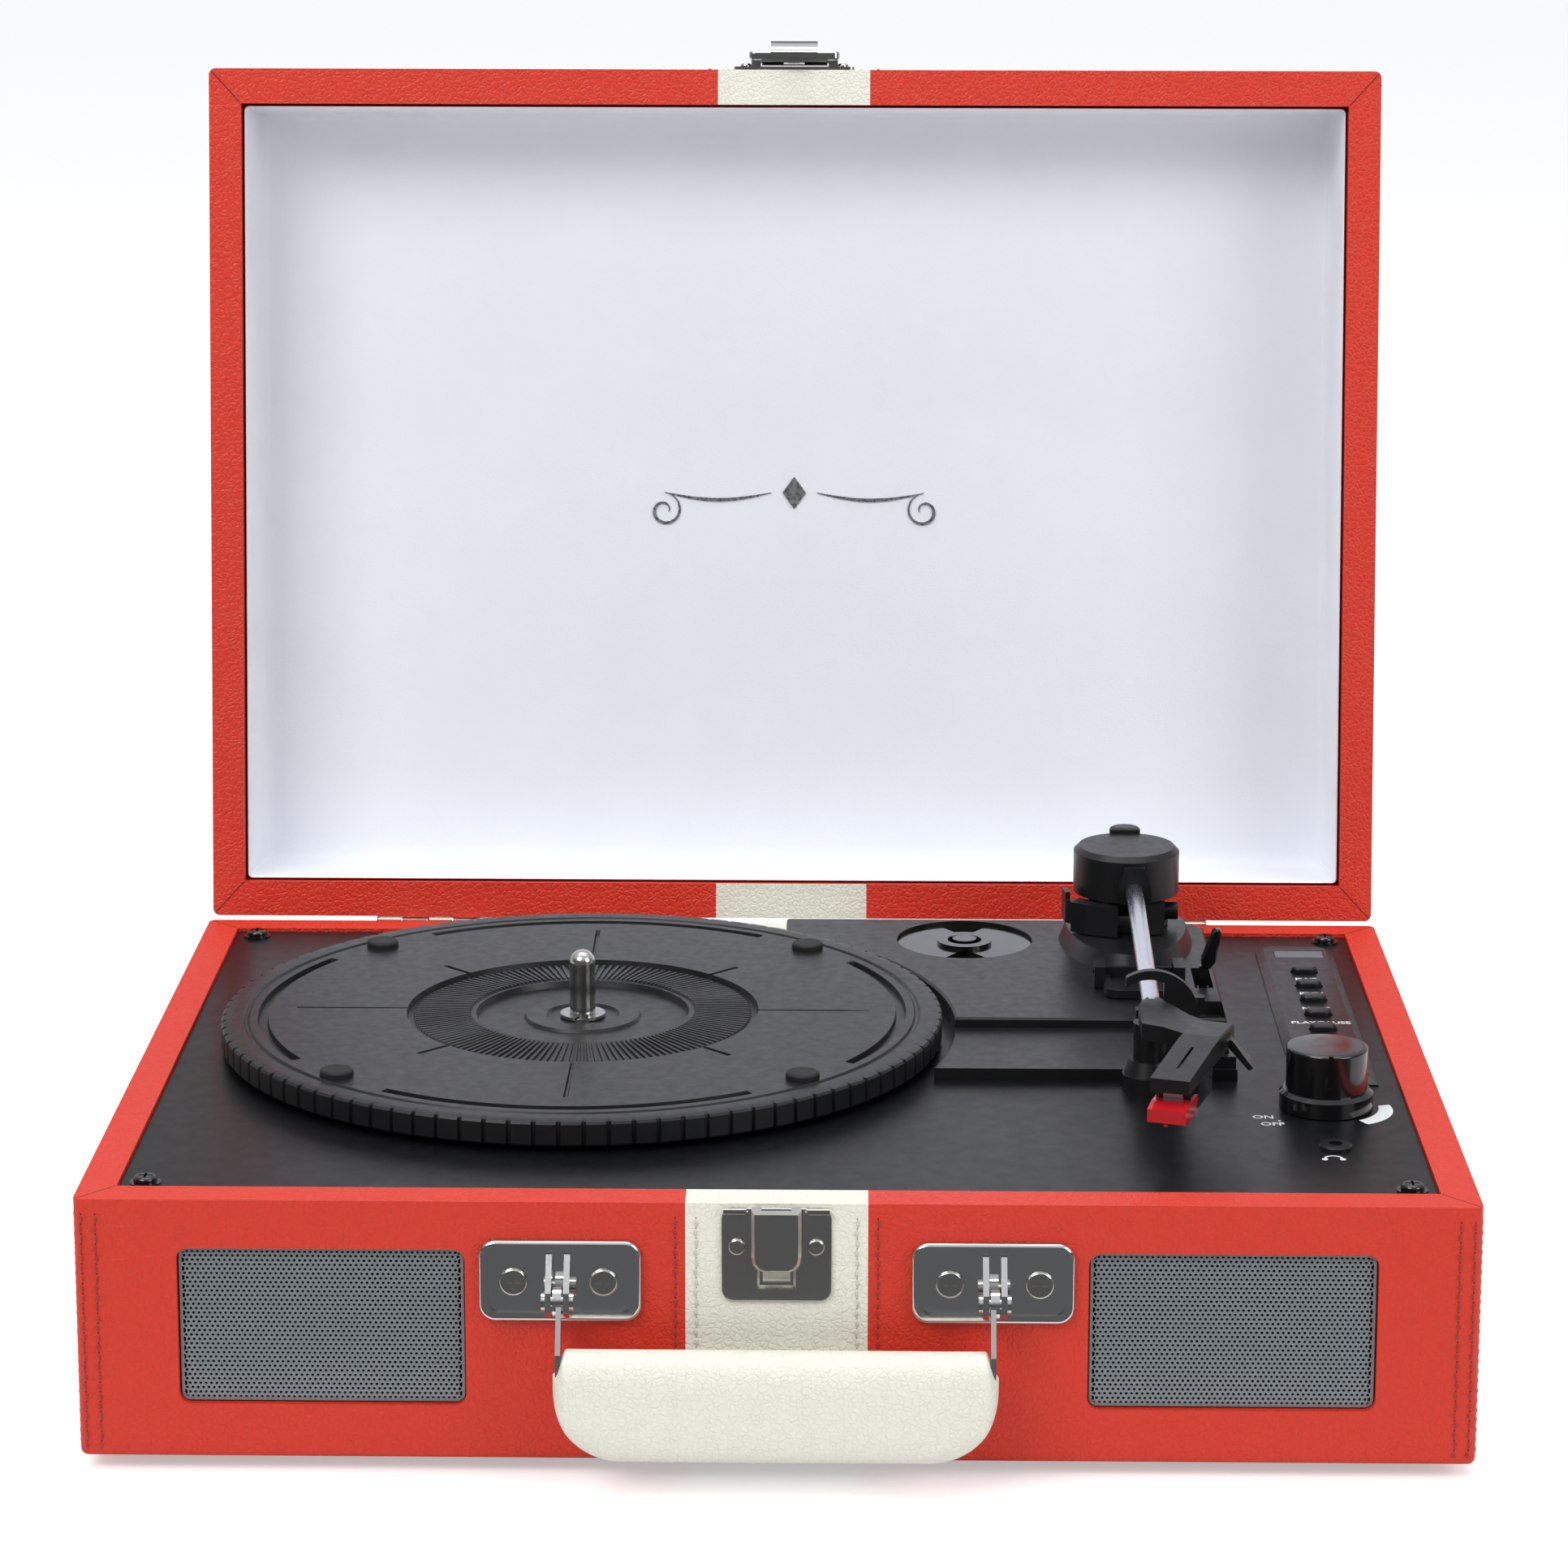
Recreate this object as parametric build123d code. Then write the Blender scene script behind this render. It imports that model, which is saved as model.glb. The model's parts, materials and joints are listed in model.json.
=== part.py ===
from build123d import *
import os
from math import cos, sin, radians, acos

os.makedirs("parts", exist_ok=True)

# A suitcase record player, open, standing on its feet.
# The case frame: x to the right, y back from the base's front face, z up from the base's rim.
# place() moves it to the part frame: the origin is under the middle of the open player.

# ---- driving dimensions, millimetres ----
WIDTH = 350.0
DEPTH = 255.0
BASE_H = 68.0
LID_H = 43.0
FOOT_H = 4.0
LID_GAP = 0.3            # between the closed lid's rim and the base's rim
EDGE_R = 2.0             # rounded vinyl-covered edges
COVER_T = 0.8            # thickness of the cover and of the centre band
BAND_W = 45.4

INNER_X = 165.5          # half width of both boxes inside
BASE_IN_FRONT = 10.5
BASE_IN_BACK = 246.0
BASE_FLOOR_T = 4.0
LID_IN_FRONT = 10.4
LID_IN_BACK = 244.6
LID_TOP_T = 3.0
LINING_T = 1.5
LINING_SETBACK = 3.0

HINGE_Y = 258.0
HINGE_Z = -3.0
HINGE_X = 106.0          # centre of each hinge
HINGE_W = 38.5
LID_OPEN = 98.0          # degrees from closed

DECK_TOP = -1.0
DECK_T = 3.0
DECK_GAP = 0.3
DECK_SCREWS = [(sx * 159.0, y) for sx in (-1, 1) for y in (15.5, 240.5)]

PLATTER_X = -56.0
PLATTER_Y = 140.0
PLATTER_R = 99.5
PLATTER_TOP = 7.5
PLATTER_BOTTOM = 0.7
SHAFT_R = 3.9            # spindle inside the platter's bearing
SPINDLE_R = 3.55         # spindle above the clip, for the record's hole
RUN = 0.05               # radial running clearance
BELT_RING_R = 70.0
PULLEY_R = 5.0
PAD_RADIUS = 87.0
PAD_R = 4.5
PULLEY_DIST = 80.0
PULLEY_ANGLE = 225.0
BELT_GAP = 0.3
BELT_T = 0.6

PLATFORM_TOP = 5.0
SHELF_TOP = 2.2
PLATFORM_RIGHT = 122.3
PLATFORM_LEFT = -1.0
PLATFORM_BACK = 242.3
PLATFORM_STEP = 142.0
SHELF_FRONT = 104.6
PLATFORM_CUT_R = 103.0
ADAPTER_X = 51.4
ADAPTER_Y = 220.5
ADAPTER_R = 19.8

ARM_X = 98.5
ARM_Y = 222.0
CAP_R = 15.4
CAP_LOW = 20.0
CAP_HIGH = 33.5
PIVOT_Z = 16.0
TUBE_R = 2.5
TUBE_BACK = (100.0, 207.0, 24.0)
TUBE_FRONT = (98.7, 101.5, 20.5)
SHELL_X = 99.0           # front of the headshell, on its own axis
SHELL_Y = 33.3
SHELL_TURN = 18.0        # degrees between the headshell and the tube, in plan
SHELL_W = 10.3
REST_X = 98.0
REST_Y = 98.0
CLIP_X = 105.5
CLIP_Y = 107.2
CLIP_Z = 17.0

LEVER_X = 118.2
LEVER_Y = 178.0
LEVER_Z = 2.0
SWITCH_X = 114.6
SWITCH_Y = 151.0

STRIP_X = 148.55
STRIP_W = 22.5
STRIP_Y0 = 101.0
STRIP_Y1 = 230.6
STRIP_TOP = 1.0
BUTTON_X = 149.3
BUTTON_FIRST_Y = 145.8
BUTTON_PITCH = 14.1
BUTTON_L = 7.4
BUTTON_W = 4.5
KNOB_X = 143.9
KNOB_Y = 83.0
KNOB_R = 10.75
JACK_X = 143.1
JACK_Y = 48.6

GRILLE_X = 113.55
GRILLE_W = 71.9
GRILLE_Z = -33.1
GRILLE_H = 41.0
BRACKET_X = 53.8
BRACKET_W = 40.6
BRACKET_Z = -20.0
BRACKET_H = 21.1
HANDLE_PIN_Y = -7.0
HANDLE_PIN_Z = -23.4
PIN_R = 1.4
GRIP_HALF = 55.0
STRAP_X = 54.1
BRACKET_SCREW_X = (43.0, 65.4)
BRACKET_SCREW_Z = -20.2
LATCH_SCREW_X = 9.8
LATCH_SCREW_Z = -10.8
HASP_SCREW_X = 14.5
HASP_SCREW_Z = 8.0
HASP_PIVOT_Y = -3.4
HASP_PIVOT_Z = 15.0

REAR_X = 95.0            # rear socket plate
REAR_Z = -44.0
REAR_PITCH = 13.0
SOCKET_R = 4.2

LID_BACK_REACH = 339.8   # the open lid's furthest point behind the front face
HANDLE_REACH = 20.5      # the handle's furthest point before it
FRONT_Y = -(LID_BACK_REACH - HANDLE_REACH) / 2
RIM_Z = BASE_H + FOOT_H


def block(x0, x1, y0, y1, z0, z1):
    return Pos((x0 + x1) / 2, (y0 + y1) / 2, (z0 + z1) / 2) * Box(x1 - x0, y1 - y0, z1 - z0)


def post(x, y, z0, z1, r):
    return Pos(x, y, (z0 + z1) / 2) * Cylinder(r, z1 - z0)


def rod_x(x0, x1, y, z, r):
    return Pos((x0 + x1) / 2, y, z) * Rot(0, 90, 0) * Cylinder(r, x1 - x0)


def rod_y(x, y0, y1, z, r):
    return Pos(x, (y0 + y1) / 2, z) * Rot(90, 0, 0) * Cylinder(r, y1 - y0)


def prism(points, z0, z1):
    """A plan outline of straight sides, from z0 up to z1."""
    return Pos(0, 0, z0) * extrude(make_face(Polyline(*points, close=True)), z1 - z0)


def side_prism(points, x0, x1):
    """An outline in (y, z), from x0 to x1."""
    face = make_face(Polyline(*[(0, y, z) for y, z in points], close=True))
    return Pos(x0, 0, 0) * extrude(face, x1 - x0, dir=(1, 0, 0))


def front_prism(points, y0, y1):
    """An outline in (x, z), from y0 back to y1."""
    face = make_face(Polyline(*[(x, 0, z) for x, z in points], close=True))
    return Pos(0, y0, 0) * extrude(face, y1 - y0, dir=(0, 1, 0))


def rounded_plate(x, z, w, h, y0, y1, r):
    """A plate on the front face with rounded corners."""
    plate = block(x - w / 2, x + w / 2, y0, y1, z - h / 2, z + h / 2)
    return fillet(plate.edges().filter_by(Axis.Y), r)


def open_lid(shape):
    """From the closed place to the open one, about the hinge line."""
    about = Pos(0, HINGE_Y, HINGE_Z) * Rot(-LID_OPEN, 0, 0) * Pos(0, -HINGE_Y, -HINGE_Z)
    return about * shape


def save(node, *shapes):
    placed = [Pos(0, FRONT_Y, RIM_Z) * s for s in shapes]
    whole = placed[0] if len(placed) == 1 else Compound(children=placed)
    export_step(whole, f"parts/{node}.step")


def dome_screw(x, z, head_r, shank_r, depth):
    """A domed cross-head screw driven back into the front wall from y = 0."""
    head = rod_y(x, -1.2, 0, z, head_r)
    head = fillet(head.edges().sort_by(Axis.Y)[0], 0.8)
    head -= block(x - head_r * 0.55, x + head_r * 0.55, -1.3, -0.6, z - 0.3, z + 0.3)
    head -= block(x - 0.3, x + 0.3, -1.3, -0.6, z - head_r * 0.55, z + head_r * 0.55)
    return head + rod_y(x, 0, depth, z, shank_r)


# ---- the two covered boxes ----
def covered_box(z0, z1, open_at_top):
    """The outside of a box, with every edge but the rim's rounded."""
    body = block(-WIDTH / 2, WIDTH / 2, 0, DEPTH, z0, z1)
    level = Axis.Z
    closed = body.faces().sort_by(level)[0 if open_at_top else -1]
    return fillet(list(body.edges().filter_by(Axis.Z)) + list(closed.edges()), EDGE_R)


def centre_band(box_solid, z0, z1):
    """The cover's centre strip: the skin of the box between the band's two edges."""
    slab = block(-BAND_W / 2, BAND_W / 2, -1, DEPTH + 1, z0 - 1, z1 + 1)
    core = block(-WIDTH, WIDTH, COVER_T, DEPTH - COVER_T, z0 + COVER_T, z1 - COVER_T)
    return (box_solid & slab) - core


def front_hardware_shanks():
    """Holes in the front wall for the bracket and latch screws."""
    holes = [rod_y(sx * x, -1, 6.6, BRACKET_SCREW_Z, 1.2) for sx in (-1, 1) for x in BRACKET_SCREW_X]
    holes += [rod_y(sx * LATCH_SCREW_X, -1, 5, LATCH_SCREW_Z, 0.9) for sx in (-1, 1)]
    return holes


def base_boxes():
    outer = covered_box(-BASE_H, 0, True)
    floor_z = -BASE_H + BASE_FLOOR_T
    tub = outer - block(-INNER_X, INNER_X, BASE_IN_FRONT, BASE_IN_BACK, floor_z, 1)
    for sx in (-1, 1):
        tub -= rounded_plate(sx * GRILLE_X, GRILLE_Z, GRILLE_W, GRILLE_H, -1, 11, 3)
        for y0, y1 in ((BASE_IN_FRONT, 24.0), (232.0, BASE_IN_BACK)):
            low, high = sorted((sx * 150.5, sx * INNER_X))
            tub += block(low, high, y0, y1, -24, DECK_TOP - DECK_T)
    for x, y in DECK_SCREWS:
        tub -= post(x, y, -16, 0, 1.2)
    for hole in front_hardware_shanks():
        tub -= hole
    tub -= block(REAR_X - 26, REAR_X + 26, BASE_IN_BACK - 1, DEPTH + 1, REAR_Z - 7, REAR_Z + 7)
    band = centre_band(tub, -BASE_H, 0)
    return tub - band, band


def lid_boxes():
    outer = covered_box(LID_GAP, LID_GAP + LID_H, False)
    shell = outer - block(-INNER_X, INNER_X, LID_IN_FRONT, LID_IN_BACK, 0, LID_GAP + LID_H - LID_TOP_T)
    for sx in (-1, 1):
        shell -= rod_y(sx * HASP_SCREW_X, -1, 4, HASP_SCREW_Z, 0.9)
    band = centre_band(shell, LID_GAP, LID_GAP + LID_H)
    return shell - band, band


def lid_lining():
    top = LID_GAP + LID_H - LID_TOP_T
    tray = block(-INNER_X, INNER_X, LID_IN_FRONT, LID_IN_BACK, LID_GAP + LINING_SETBACK, top)
    t = LINING_T
    hollow = block(-INNER_X + t, INNER_X - t, LID_IN_FRONT + t, LID_IN_BACK - t, 0, top - t)
    return tray - hollow


def hinge(x):
    """One hinge: the base leaf, the lid leaf (closed) and the pin."""
    barrel_r, pin_r, leaf_t, gap = 2.4, 1.2, 1.0, 0.3
    left = x - HINGE_W / 2
    step = HINGE_W / 5
    base_leaf = block(left, left + HINGE_W, DEPTH, DEPTH + leaf_t, -26, HINGE_Z - 3)
    lid_leaf = block(left, left + HINGE_W, DEPTH, DEPTH + leaf_t, 0, 20)
    for k in range(5):
        x0 = left + k * step + gap / 2
        x1 = left + (k + 1) * step - gap / 2
        knuckle = rod_x(x0, x1, HINGE_Y, HINGE_Z, barrel_r)
        if k % 2 == 0:
            tab = block(x0, x1, DEPTH, HINGE_Y, HINGE_Z - 3, HINGE_Z - 1)
            base_leaf += (tab + knuckle) - rod_x(x0 - 1, x1 + 1, HINGE_Y, HINGE_Z, pin_r)
        else:
            tab = block(x0, x1, DEPTH, HINGE_Y, HINGE_Z + 1, HINGE_Z + 3)
            lid_leaf += (tab + knuckle) - rod_x(x0 - 1, x1 + 1, HINGE_Y, HINGE_Z, pin_r + RUN)
    pin = rod_x(left, left + HINGE_W, HINGE_Y, HINGE_Z, pin_r)
    return base_leaf, lid_leaf, pin


# ---- latch, hasp and handle ----
def latch():
    plate = rounded_plate(0, -13.1, 27.5, 24.4, -1.0, 0, 3)
    plate = fillet(plate.faces().sort_by(Axis.Y)[0].edges(), 0.4)
    plate -= block(-4.8, 4.8, -2, 1, -22.0, -4)
    for side in (-1, 1):
        fold = block(*sorted((side * 7.4, side * 13.2)), -1.9, -0.6, -2.4, -0.9)
        plate += fillet(fold.edges().filter_by(Axis.X), 0.35)
        plate += block(*sorted((side * 7.0, side * 7.8)), -2.6, -0.8, -17, -1.4)
    right = [(6.2, -0.6), (6.2, -12.6), (5.8, -14.6), (4.7, -16.0), (3.0, -16.7)]
    shield = right + [(-x, z) for x, z in reversed(right)]
    slider = front_prism(shield, -4.6, -1.3)
    slider = chamfer(slider.faces().sort_by(Axis.Y)[0].edges(), 0.8)
    slider -= block(-3.7, 3.7, -3.5, -1.0, -6, 0)
    slider += block(-4.2, 4.2, -2.2, -1.3, -20.5, -16) - block(-3.4, 3.4, -3, -1, -19.7, -17.2)
    slider += block(-3.6, 3.6, -1.5, -0.2, -14.5, -8)
    screws = [dome_screw(sx * LATCH_SCREW_X, LATCH_SCREW_Z, 2.2, 0.9, 6) for sx in (-1, 1)]
    screws = [Pos(0, -1.0, 0) * s for s in screws]
    return plate, slider, screws


def hasp():
    """The plate fixed to the lid's front wall, its pin and the chrome flap with its tongue."""
    plate = rounded_plate(0, 9.0, 36, 15.0, -1.0, 0, 1.5)
    pin = rod_x(-13, 13, HASP_PIVOT_Y, HASP_PIVOT_Z, 0.9)
    for sx in (-1, 1):
        low, high = sorted((sx * 10.2, sx * 13.0))
        ear = block(low, high, HASP_PIVOT_Y, -0.5, HASP_PIVOT_Z - 1.5, HASP_PIVOT_Z + 1.5)
        ear += rod_x(low, high, HASP_PIVOT_Y, HASP_PIVOT_Z, 1.5)
        plate += ear
    plate -= pin
    barrel = rod_x(-9.9, 9.9, HASP_PIVOT_Y, HASP_PIVOT_Z, 1.6)
    flap = block(-9.9, 9.9, -5.0, -3.4, 6, HASP_PIVOT_Z)
    cover = block(-13.5, 13.5, -5.6, -3.6, 1.4, 12.5)
    cover = fillet(cover.edges().filter_by(Axis.Y), 1.8)
    cover = fillet(cover.edges().group_by(Axis.Y)[0], 0.7)
    tab = block(-7, 7, -8.6, -3.6, -0.2, 4.6)
    curl = rod_x(-8, 8, -8.6, -0.2, 3.4)
    tongue = block(-3.1, 3.1, -3.2, -1.9, -4.2, 6) + block(-3.1, 3.1, -4.4, -1.9, 4, 6)
    tongue -= block(-1.7, 1.7, -4, -1, -2.8, 1)
    flap = flap + barrel + cover + (tab - curl) + tongue
    flap -= rod_x(-20, 20, HASP_PIVOT_Y, HASP_PIVOT_Z, 0.9 + RUN)
    screws = [Pos(0, -1.0, 0) * dome_screw(sx * HASP_SCREW_X, HASP_SCREW_Z, 1.7, 0.9, 5) for sx in (-1, 1)]
    return plate, pin, flap, screws


def handle_bracket(sx):
    x = sx * BRACKET_X
    plate = rounded_plate(x, BRACKET_Z, BRACKET_W, BRACKET_H, -2.4, 0, 4.2)
    plate = fillet(plate.faces().sort_by(Axis.Y)[0].edges(), 1.2)
    dish = rounded_plate(x, BRACKET_Z, BRACKET_W - 4.6, BRACKET_H - 4.6, -3.0, -1.4, 3)
    plate -= dish
    for ear_x in (-2.25, 2.25):
        cx = sx * STRAP_X + ear_x
        outline = [(-1, -12.4), (-3.4, -12.4), (-9.6, -20.4), (-10.4, -25.2), (-7, -27.4), (-1, -28.6)]
        plate += side_prism(outline, cx - 0.75, cx + 0.75)
    for bx in BRACKET_SCREW_X:
        plate -= rod_y(sx * bx, -3, 1, BRACKET_SCREW_Z, 1.2)
    return plate - handle_pin(sx)


def handle_pin(sx):
    x = sx * STRAP_X
    shank = rod_x(x - 3.6, x + 3.6, HANDLE_PIN_Y, HANDLE_PIN_Z, PIN_R)
    for side in (-1, 1):
        low, high = sorted((x + side * 3.0, x + side * 4.0))
        shank += rod_x(low, high, HANDLE_PIN_Y, HANDLE_PIN_Z, 2.4)
    return shank


def handle_grip():
    body = block(-GRIP_HALF, GRIP_HALF, -HANDLE_REACH, -7.5, -62, -33.7)
    corners = body.edges().filter_by(Axis.Y).group_by(Axis.Z)[0]
    body = fillet(corners, 15)
    rim = body.edges().filter_by(lambda e: abs(e.center().Z + 33.7) > 0.1)
    return fillet(rim.filter_by(lambda e: e.geom_type != GeomType.LINE or e.length > 30), 3)


def handle_strap(sx):
    """A stiff end strap from the bracket's pin down into the grip's end."""
    x0, x1 = sorted((sx * (STRAP_X - 1.1), sx * (STRAP_X + 1.1)))
    s0, s1 = sorted((sx * (STRAP_X - 1.1), sx * (STRAP_X + 0.2)))
    outline = [(-10.9, -23.4), (-16.4, -34), (-16.4, -46), (-11.2, -46), (-11.2, -36), (-3.2, -24.6)]
    strap = side_prism(outline, s0, s1) + rod_x(x0, x1, HANDLE_PIN_Y, HANDLE_PIN_Z, 3.9)
    return strap - rod_x(x0 - 1, x1 + 1, HANDLE_PIN_Y, HANDLE_PIN_Z, PIN_R + RUN)


def strap_rivet(sx):
    x0, x1 = sorted((sx * 44.0, sx * (STRAP_X + 0.2)))
    return rod_x(x0, x1, -14, -42, 1.2)


# ---- deck, platter and drive ----
def motor_board():
    g = DECK_GAP
    low, high = DECK_TOP - DECK_T, DECK_TOP
    board = block(-INNER_X + g, INNER_X - g, BASE_IN_FRONT + g, BASE_IN_BACK - g, low, high)
    px, py = pulley_centre()
    board -= post(px, py, low - 1, high + 1, 7)
    board -= post(PLATTER_X, PLATTER_Y, low - 1, high + 1, SHAFT_R)
    board -= post(KNOB_X, KNOB_Y, low - 1, high + 1, 3.5)
    board -= post(JACK_X, JACK_Y, low - 1, high + 1, 3.0)
    board -= post(ARM_X, ARM_Y, low - 1, high + 1, 3.5)
    board -= block(LEVER_X - 2.6, LEVER_X + 2.6, 172, 192, low - 1, high + 1)
    board -= block(SWITCH_X - 7, SWITCH_X + 7.6, 144, 158, low - 1, high + 1)
    for k in range(5):
        board -= button_oval(k, 0.4, low - 1, high + 1)
    for x, y in DECK_SCREWS:
        board -= post(x, y, low - 1, high + 1, 1.2)
    return board


def deck_screw(x, y):
    washer = post(x, y, DECK_TOP, DECK_TOP + 0.5, 4.0)
    head = post(x, y, DECK_TOP + 0.5, DECK_TOP + 2.1, 3.0)
    head = fillet(head.edges().sort_by(Axis.Z)[-1], 1.0)
    head -= block(x - 1.8, x + 1.8, y - 0.3, y + 0.3, DECK_TOP + 1.3, DECK_TOP + 3)
    head -= block(x - 0.3, x + 0.3, y - 1.8, y + 1.8, DECK_TOP + 1.3, DECK_TOP + 3)
    return washer + head + post(x, y, -16, DECK_TOP, 1.2)


def pulley_centre():
    a = radians(PULLEY_ANGLE)
    return PLATTER_X + PULLEY_DIST * cos(a), PLATTER_Y + PULLEY_DIST * sin(a)


def platter():
    c = (PLATTER_X, PLATTER_Y)
    plate_low = 4.7
    body = post(*c, PLATTER_BOTTOM, PLATTER_TOP, PLATTER_R)
    body = chamfer(body.edges().sort_by(Axis.Z)[-1], 0.8)
    body -= post(*c, PLATTER_BOTTOM - 1, plate_low, 94.5)
    body += post(*c, PLATTER_BOTTOM, plate_low, BELT_RING_R) - post(*c, 0, plate_low, BELT_RING_R - 3.5)
    body += post(*c, PLATTER_BOTTOM, plate_low, 10)
    body -= post(*c, 5.2, PLATTER_TOP + 1, 29)
    body -= post(*c, 6.9, PLATTER_TOP + 1, 48) - post(*c, 6.9, PLATTER_TOP + 1, 47)
    body += post(*c, 5.2, 6.2, 16) - post(*c, 5.2, 6.2, 10)
    for k in range(4):
        a = 45 + 90 * k
        body -= Pos(*c, 0) * Rot(0, 0, a) * Pos(PAD_RADIUS, 0, 7.3) * Cylinder(PAD_R, 1)
    return body - post(*c, 0, 9, SHAFT_R + RUN)


def platter_pads():
    pads = []
    for k in range(4):
        pad = Pos(PLATTER_X, PLATTER_Y, 0) * Rot(0, 0, 45 + 90 * k) * Pos(PAD_RADIUS, 0, 0)
        pad = pad * (Pos(0, 0, 8.1) * Cylinder(PAD_R, 2.6))
        pads.append(fillet(pad.edges().sort_by(Axis.Z)[-1], 0.8))
    return pads


def spindle():
    c = (PLATTER_X, PLATTER_Y)
    shaft = post(*c, -22, 5.5, SHAFT_R) + post(*c, -8, DECK_TOP - DECK_T, 12)
    shaft += post(*c, 5.5, 7, 3.2) + post(*c, 7, 21, SPINDLE_R)
    return shaft + Pos(*c, 21) * (Sphere(SPINDLE_R) & block(-9, 9, -9, 9, 0, 9))


def spindle_clip():
    c = (PLATTER_X, PLATTER_Y)
    ring = post(*c, 5.8, 6.6, 6.2) - post(*c, 5, 7, 3.2)
    return ring - block(PLATTER_X - 1.8, PLATTER_X + 1.8, PLATTER_Y - 8, PLATTER_Y, 5, 7)


def motor():
    x, y = pulley_centre()
    can = post(x, y, -34, -6, 17) + post(x, y, -6, DECK_TOP - DECK_T, 6)
    can = fillet(can.edges().sort_by(Axis.Z)[0], 2)
    for side in (-1, 1):
        low, high = sorted((x + side * 14, x + side * 26))
        can += block(low, high, y - 5, y + 5, -6, DECK_TOP - DECK_T)
    return can - post(x, y, -20, 1, 1 + RUN)


def motor_pulley():
    x, y = pulley_centre()
    pulley = post(x, y, -0.4, 4.2, PULLEY_R) - post(x, y, 0.6, 3.2, 9)
    pulley += post(x, y, 0.6, 3.2, PULLEY_R - 0.4)
    return pulley + post(x, y, -19, 4.2, 1)


def drive_belt():
    """A closed flat belt round the platter's ring and the motor's pulley."""
    def loop(grow):
        big, small = BELT_RING_R + grow, PULLEY_R + grow
        lean = acos((big - small) / PULLEY_DIST)
        wedge = [(big * cos(lean), big * sin(lean)),
                 (PULLEY_DIST + small * cos(lean), small * sin(lean)),
                 (PULLEY_DIST + small * cos(lean), -small * sin(lean)),
                 (big * cos(lean), -big * sin(lean))]
        return (Cylinder(big, 2) + Pos(PULLEY_DIST, 0, 0) * Cylinder(small, 2)
                + prism(wedge, -1, 1))
    belt = loop(BELT_GAP + BELT_T) - loop(BELT_GAP)
    return Pos(PLATTER_X, PLATTER_Y, 1.9) * Rot(0, 0, PULLEY_ANGLE) * belt


# ---- tonearm platform and what stands on it ----
def tonearm_platform():
    high = block(PLATFORM_LEFT, PLATFORM_RIGHT, PLATFORM_STEP, PLATFORM_BACK, DECK_TOP, PLATFORM_TOP)
    high -= prism([(PLATFORM_RIGHT - 8, PLATFORM_BACK + 1), (PLATFORM_RIGHT + 1, PLATFORM_BACK + 1),
                   (PLATFORM_RIGHT + 1, PLATFORM_BACK - 9)], DECK_TOP - 1, PLATFORM_TOP + 1)
    low = block(30, PLATFORM_RIGHT, SHELF_FRONT, PLATFORM_STEP, DECK_TOP, SHELF_TOP)
    body = high + low - post(PLATTER_X, PLATTER_Y, -2, 9, PLATFORM_CUT_R)
    body = chamfer(body.faces().sort_by(Axis.Z)[-1].edges(), 0.6)
    body -= post(ADAPTER_X, ADAPTER_Y, 0.8, 9, ADAPTER_R)
    body -= block(LEVER_X - 2.6, LEVER_X + 2.6, 172, 192, -2, 9)
    body -= block(SWITCH_X - 5.4, SWITCH_X + 7.6, 143, 159, 1.2, 9)
    body -= block(SWITCH_X - 4.6, SWITCH_X + 6.6, 148, 154, -2, 9)
    body -= post(ARM_X, ARM_Y, -2, 9, 4.5)
    body -= post(REST_X, REST_Y, -2, 9, 7.5)
    return body


def adapter_45():
    disc = post(ADAPTER_X, ADAPTER_Y, 0.8, 4.0, ADAPTER_R - 0.4)
    for sy in (-1, 1):
        cut = Rot(0, 0, 90 * sy) * prism([(7, 0), (26, -13), (26, 13)], -1, 1.8)
        disc -= Pos(ADAPTER_X, ADAPTER_Y, 3.2) * cut
    disc += post(ADAPTER_X, ADAPTER_Y, 4.0, 5.0, 8)
    disc -= post(ADAPTER_X, ADAPTER_Y, 2.4, 6, 5)
    return disc + post(ADAPTER_X, ADAPTER_Y, 2.4, 5.4, 3.5)


def tonearm_pedestal():
    half = Rectangle(80, 80)
    plan = (Circle(19.5) & Pos(0, 40) * half) + (Ellipse(19.5, 36) & Pos(0, -40) * half)
    foot = Pos(ARM_X, ARM_Y, PLATFORM_TOP) * extrude(plan, 5, taper=22)
    foot += post(ARM_X, ARM_Y, -14, PLATFORM_TOP, 3.5)
    foot += post(ARM_X, ARM_Y, 1, PLATFORM_TOP, 4.5)
    return foot - post(ARM_X, ARM_Y, -12, 12, 2.0 + RUN)


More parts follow.
